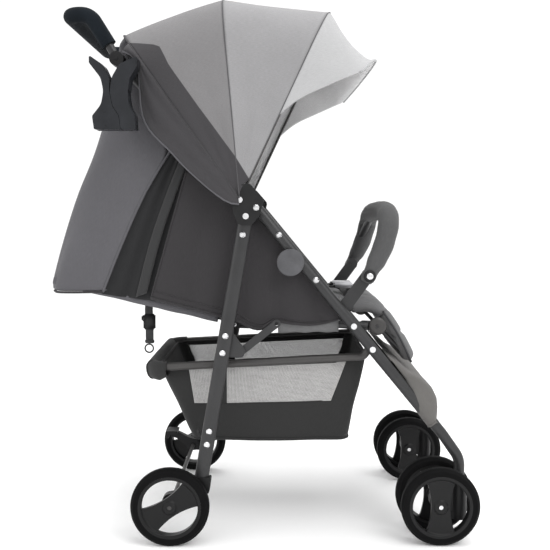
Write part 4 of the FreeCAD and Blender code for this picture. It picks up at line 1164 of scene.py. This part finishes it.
def side_columns(edges, share):
    """x places along one side wall at a level: corner, border, window, border, corner."""
    start = BAG_LOW[0] + REAR_ROUND + (BAG_HIGH[0] - BAG_LOW[0]) * share
    end = BAG_LOW[1] - FRONT_ROUND + (BAG_HIGH[1] - BAG_LOW[1]) * share
    a, b = (low + (high - low) * share for low, high in edges)
    places = [start + (a - start) * k / 3 for k in range(3)]
    places += [a + (STRIP[0] - a) * k / 3 for k in range(3)]
    places += STRIP
    places += [STRIP[1] + (b - STRIP[1]) * k / 12 for k in range(1, 13)]
    places += [b + (end - b) * k / 3 for k in range(1, 4)]
    return places


def bag_ring(share):
    """One level of the bag: the near side, the front, the far side, then the back."""
    rear_x, front_x, height, half = (a + (b - a) * share for a, b in zip(BAG_LOW, BAG_HIGH))
    front_in, front_y = front_x - FRONT_ROUND, half - FRONT_ROUND
    rear_in, rear_y = rear_x + REAR_ROUND, half - REAR_ROUND
    front_bend = [(FRONT_ROUND * sin(a), FRONT_ROUND * cos(a)) for a in QUARTER]
    rear_bend = [(REAR_ROUND * sin(a), REAR_ROUND * cos(a)) for a in QUARTER]
    places = [(x, -half) for x in side_columns(NEAR_EDGES, share)]
    places += [(front_in + u, -front_y - v) for u, v in front_bend]
    places += [(front_x, front_y * (2 * k / ACROSS - 1)) for k in range(ACROSS + 1)]
    places += [(front_in + v, front_y + u) for u, v in front_bend]
    places += [(x, half) for x in reversed(side_columns(FAR_EDGES, share))]
    places += [(rear_in - u, rear_y + v) for u, v in rear_bend]
    places += [(rear_x, rear_y * (1 - 2 * k / ACROSS)) for k in range(ACROSS + 1)]
    places += [(rear_in - v, -rear_y - u) for u, v in rear_bend]
    ring = []
    for x, y in places:
        # The rim climbs towards the front, and the floor sags a little.
        climb = (x + 20.0) / 20.0 * share
        p = at(x, y, height + climb - 4.0 * cos(x / 150.0) * (1 - share))
        slack = wander(p, 14.0, 40.0) * 4.6 * (1 - 0.6 * share)
        push = (1.05 * sin(share * pi) + slack - 1.0) * MM
        if abs(y) > half - 12:
            p.y += copysign(1.0, y) * push
        else:
            p.x += copysign(1.0, x) * push
        ring.append(p)
    return ring


bag_rows = [bag_ring(r / BAG_ROWS) for r in range(BAG_ROWS + 1)]
columns_near = len(side_columns(NEAR_EDGES, 0.0))
far_start = columns_near + 2 * len(QUARTER) + ACROSS + 1


def bag_paint(r, c):
    """The net windows, with a strip left between them on each side."""
    if not WINDOW_ROWS[0] <= r < WINDOW_ROWS[1]:
        return 0
    for first, step in ((0, 1), (far_start + columns_near - 2, -1)):
        place = (c - first) * step
        if 3 <= place < 6 or 7 <= place < 19:
            return 1
    return 0


bag = grid("basket_cover", bag_rows, [M["basket"], M["net"]], closed=True, pick=bag_paint)
thick(bag, 1.2, -1.0, 0)
on_body(bag, "basket")
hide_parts("basket_bag")
FLOOR_MIDDLE = Vector((0.017, 0.0, 0.1745))
floor_rows = []
for k in range(9):
    t = k / 8
    sag = at(0.0, 0.0, -1.8 * sin(t * pi))
    floor_rows.append([p.lerp(FLOOR_MIDDLE, t * 0.985) + sag for p in bag_rows[0]])
bag_floor = thick(grid("basket_floor_cover", floor_rows, [M["basket"]], closed=True), 1.2, 0.0, 0)
on_body(bag_floor, "basket")
for tag, ring, radius in (("rim", bag_rows[-1], 3.2), ("bottom_hem", bag_rows[0], 2.4)):
    trim(f"basket_{tag}", ring + [ring[0]], radius, "basket", "basket")
for r in WINDOW_ROWS:
    for tag, first, last in (("near", 3, 19), ("far", far_start + 1, far_start + 18)):
        trim(f"window_edge_{tag}_{r}", bag_rows[r][first:last], 1.1, "basket", "basket", 6)

# The bag's wide sleeve round the rail behind, turning its two rear corners.
RAIL_BACK, RAIL_SIDE, RAIL_CORNER, RAIL_HEIGHT = -208.0, 165.0, 40.0, 316.0
corner_line = []
for k in range(9):
    turn = pi / 2 * (0.12 + 0.88 * k / 8)
    corner_line.append(at(RAIL_BACK + RAIL_CORNER * (1 - sin(turn)),
                          -RAIL_SIDE + RAIL_CORNER * (1 - cos(turn)), 0.0))
rail_line = curve(corner_line + mirrored(corner_line), 8.0)
sleeve_rows = []
for index, p in enumerate(rail_line):
    before, after = rail_line[max(index - 1, 0)], rail_line[min(index + 1, len(rail_line) - 1)]
    along = (after - before).normalized()
    out = Vector((along.y, -along.x, 0.0))
    end = min(1.0, min(index, len(rail_line) - 1 - index) / 5)
    ring = []
    for j in range(16):
        a = 2 * pi * j / 16
        wobble = 0.9 * wander(p + Vector((0.0, 0.0, j * 0.007)), 20.0, 50.0)
        tall = 14.0 + 9.0 * end if sin(a) < 0 else 13.0
        ring.append(p + out * (12.0 + wobble) * cos(a) * MM
                    + at(0.0, 0.0, RAIL_HEIGHT + (tall + wobble) * sin(a)))
    sleeve_rows.append(ring)
sleeve = thick(grid("basket_sleeve", sleeve_rows, [M["basket"]], closed=True), 1.2, 0.0, 0)
on_body(sleeve, "basket")

# --- Foot sling ---

SLING = (
    # leg place x, z; front place x, z; how far it wraps behind the leg
    (238, 331, 241, 340, 0.0), (246, 320, 256, 332, 0.0), (255, 308, 276, 314, 0.0),
    (266, 295, 303, 300, 0.05), (277, 281, 322, 283, 0.35), (289, 265, 331, 264, 0.8),
    (301, 249, 332.5, 248, 1.0), (313, 233, 331, 230, 1.0), (323, 220, 328, 215, 1.0),
)
# Where the cloth wraps round the leg, as (x from the leg, y), and the y places of its front.
SLING_WRAPS = ((-12.0, 192.0), (-10.0, 199.0), (-2.0, 202.6), (7.0, 202.0))
SLING_FRONT = (182.0, 168.0, 140.0, 90.0, 40.0, 0.0)
LEG_Y = 190.0
sling_rows = []
for index in range(33):
    t = index / 32 * (len(SLING) - 1)
    k = min(int(t), len(SLING) - 2)
    f = t - k
    lx, lz, fx, fz, wrap = (a + (b - a) * f for a, b in zip(SLING[k], SLING[k + 1]))
    half_row = []
    for dx, y in SLING_WRAPS:
        reach_x = 9.0 + (dx - 9.0) * wrap
        reach_y = LEG_Y + (y - LEG_Y) * wrap
        half_row.append((lx + reach_x * 0.79, reach_y, lz + reach_x * 0.61))
    for s in (0.35, 0.7, 0.9):
        half_row.append((lx + 10 + (fx - lx - 10) * s, 199.0 - 8.0 * s - (1 - wrap) * 9.0 * (1 - s),
                         lz + 6 + (fz - lz - 6) * s))
    for y in SLING_FRONT:
        half_row.append((fx + 2.0 * (1 - y / LEG_Y), y, fz))
    near_half = [at(x, -y, z) for x, y, z in half_row]
    row = curve(near_half + mirrored(near_half[:-1]), 14.0)
    row = [along_line(row, q / 40) for q in range(41)]
    changed = []
    for p in row:
        push = wander(p, 9.0, 60.0) * 2.0 * min(1.0, (0.2 - abs(p.y)) * 20)
        changed.append(p + Vector((0.8, 0.0, 0.6)) * max(push, -2.0) * MM)
    sling_rows.append(changed)
sling = thick(grid("foot_sling_cover", sling_rows, [M["sling"]]), 1.6, 0.0)
on_body(sling, "frame")
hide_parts("foot_sling")
for tag, line in (("top", sling_rows[0]), ("bottom", sling_rows[-1])):
    trim(f"foot_sling_{tag}", line, 1.8, "sling", "frame")

# --- Recline strap ---

strap_low, strap_top = (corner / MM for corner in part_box("recline_strap"))
SX, SY = (strap_top.x + strap_low.x) / 2, (strap_top.y + strap_low.y) / 2
web_line = curve([at(SX, SY, strap_top.z), at(SX - 1, SY, 425), at(SX, SY, 400), at(SX, SY, 366)], 8.0)
web = tape("strap_web", web_line, 15.0, M["webbing"], Vector((1.0, 0.0, 0.0)), 2.0)
slider = block("strap_slider", at(SX, SY, 402), (23, 9, 30), M["black_plastic"], 2.5)
tab = block("strap_tab", at(SX - 10, SY - 1, 409), (10, 6, 11), M["black_plastic"], 2.0)
loop = block("strap_loop", at(SX, SY, 364), (18, 4, 8), M["webbing"], 1.5)
turns = [k * pi / 12 for k in range(25)]
ring_line = [at(SX - 1.0 + 8.0 * cos(a), SY, 350.5 + 8.0 * sin(a)) for a in turns]
ring = tube("strap_ring", ring_line, 1.5, M["black_plastic"], 10)
strap = join("recline_strap_cover", [web, slider, tab, loop, ring])
on_body(strap, "backrest")
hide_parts("recline_strap")

# --- Studio ---

floor_mesh = bpy.data.meshes.new("floor")
REACH = 14.0
square = [(-REACH, -REACH, 0), (REACH, -REACH, 0), (REACH, REACH, 0), (-REACH, REACH, 0)]
floor_mesh.from_pydata(square, [], [(0, 1, 2, 3)])
paper = Nodes("paper")
grain = paper.noise(paper.coordinates("Object"), 60.0)
floor_mesh.materials.append(paper.finish(paper.mix(grain, (0.97, 0.97, 0.97), (0.99, 0.99, 0.99)), 0.9))
floor = bpy.data.objects.new("floor", floor_mesh)
bpy.context.scene.collection.objects.link(floor)

world = bpy.data.worlds.new("studio")
bpy.context.scene.world = world
world.use_nodes = True
sky = world.node_tree.nodes["Background"].inputs
sky["Color"].default_value = (1.0, 1.0, 1.0, 1.0)
sky["Strength"].default_value = 1.06


def lamp(name, place, aim, power, size):
    """A soft square light that points at a place."""
    data = bpy.data.lights.new(name, "AREA")
    data.energy = power
    data.size = size
    light = bpy.data.objects.new(name, data)
    bpy.context.scene.collection.objects.link(light)
    light.location = place
    light.rotation_euler = (Vector(aim) - Vector(place)).to_track_quat("-Z", "Y").to_euler()


lamp("key", (1.6, -2.2, 2.6), (0.0, 0.0, 0.6), 40.0, 1.6)
lamp("fill", (-2.4, -1.8, 1.4), (0.0, 0.0, 0.5), 14.0, 2.0)
lamp("top", (0.2, 0.2, 3.0), (0.0, 0.0, 0.5), 48.0, 2.6)
bpy.context.scene.view_settings.view_transform = "Standard"
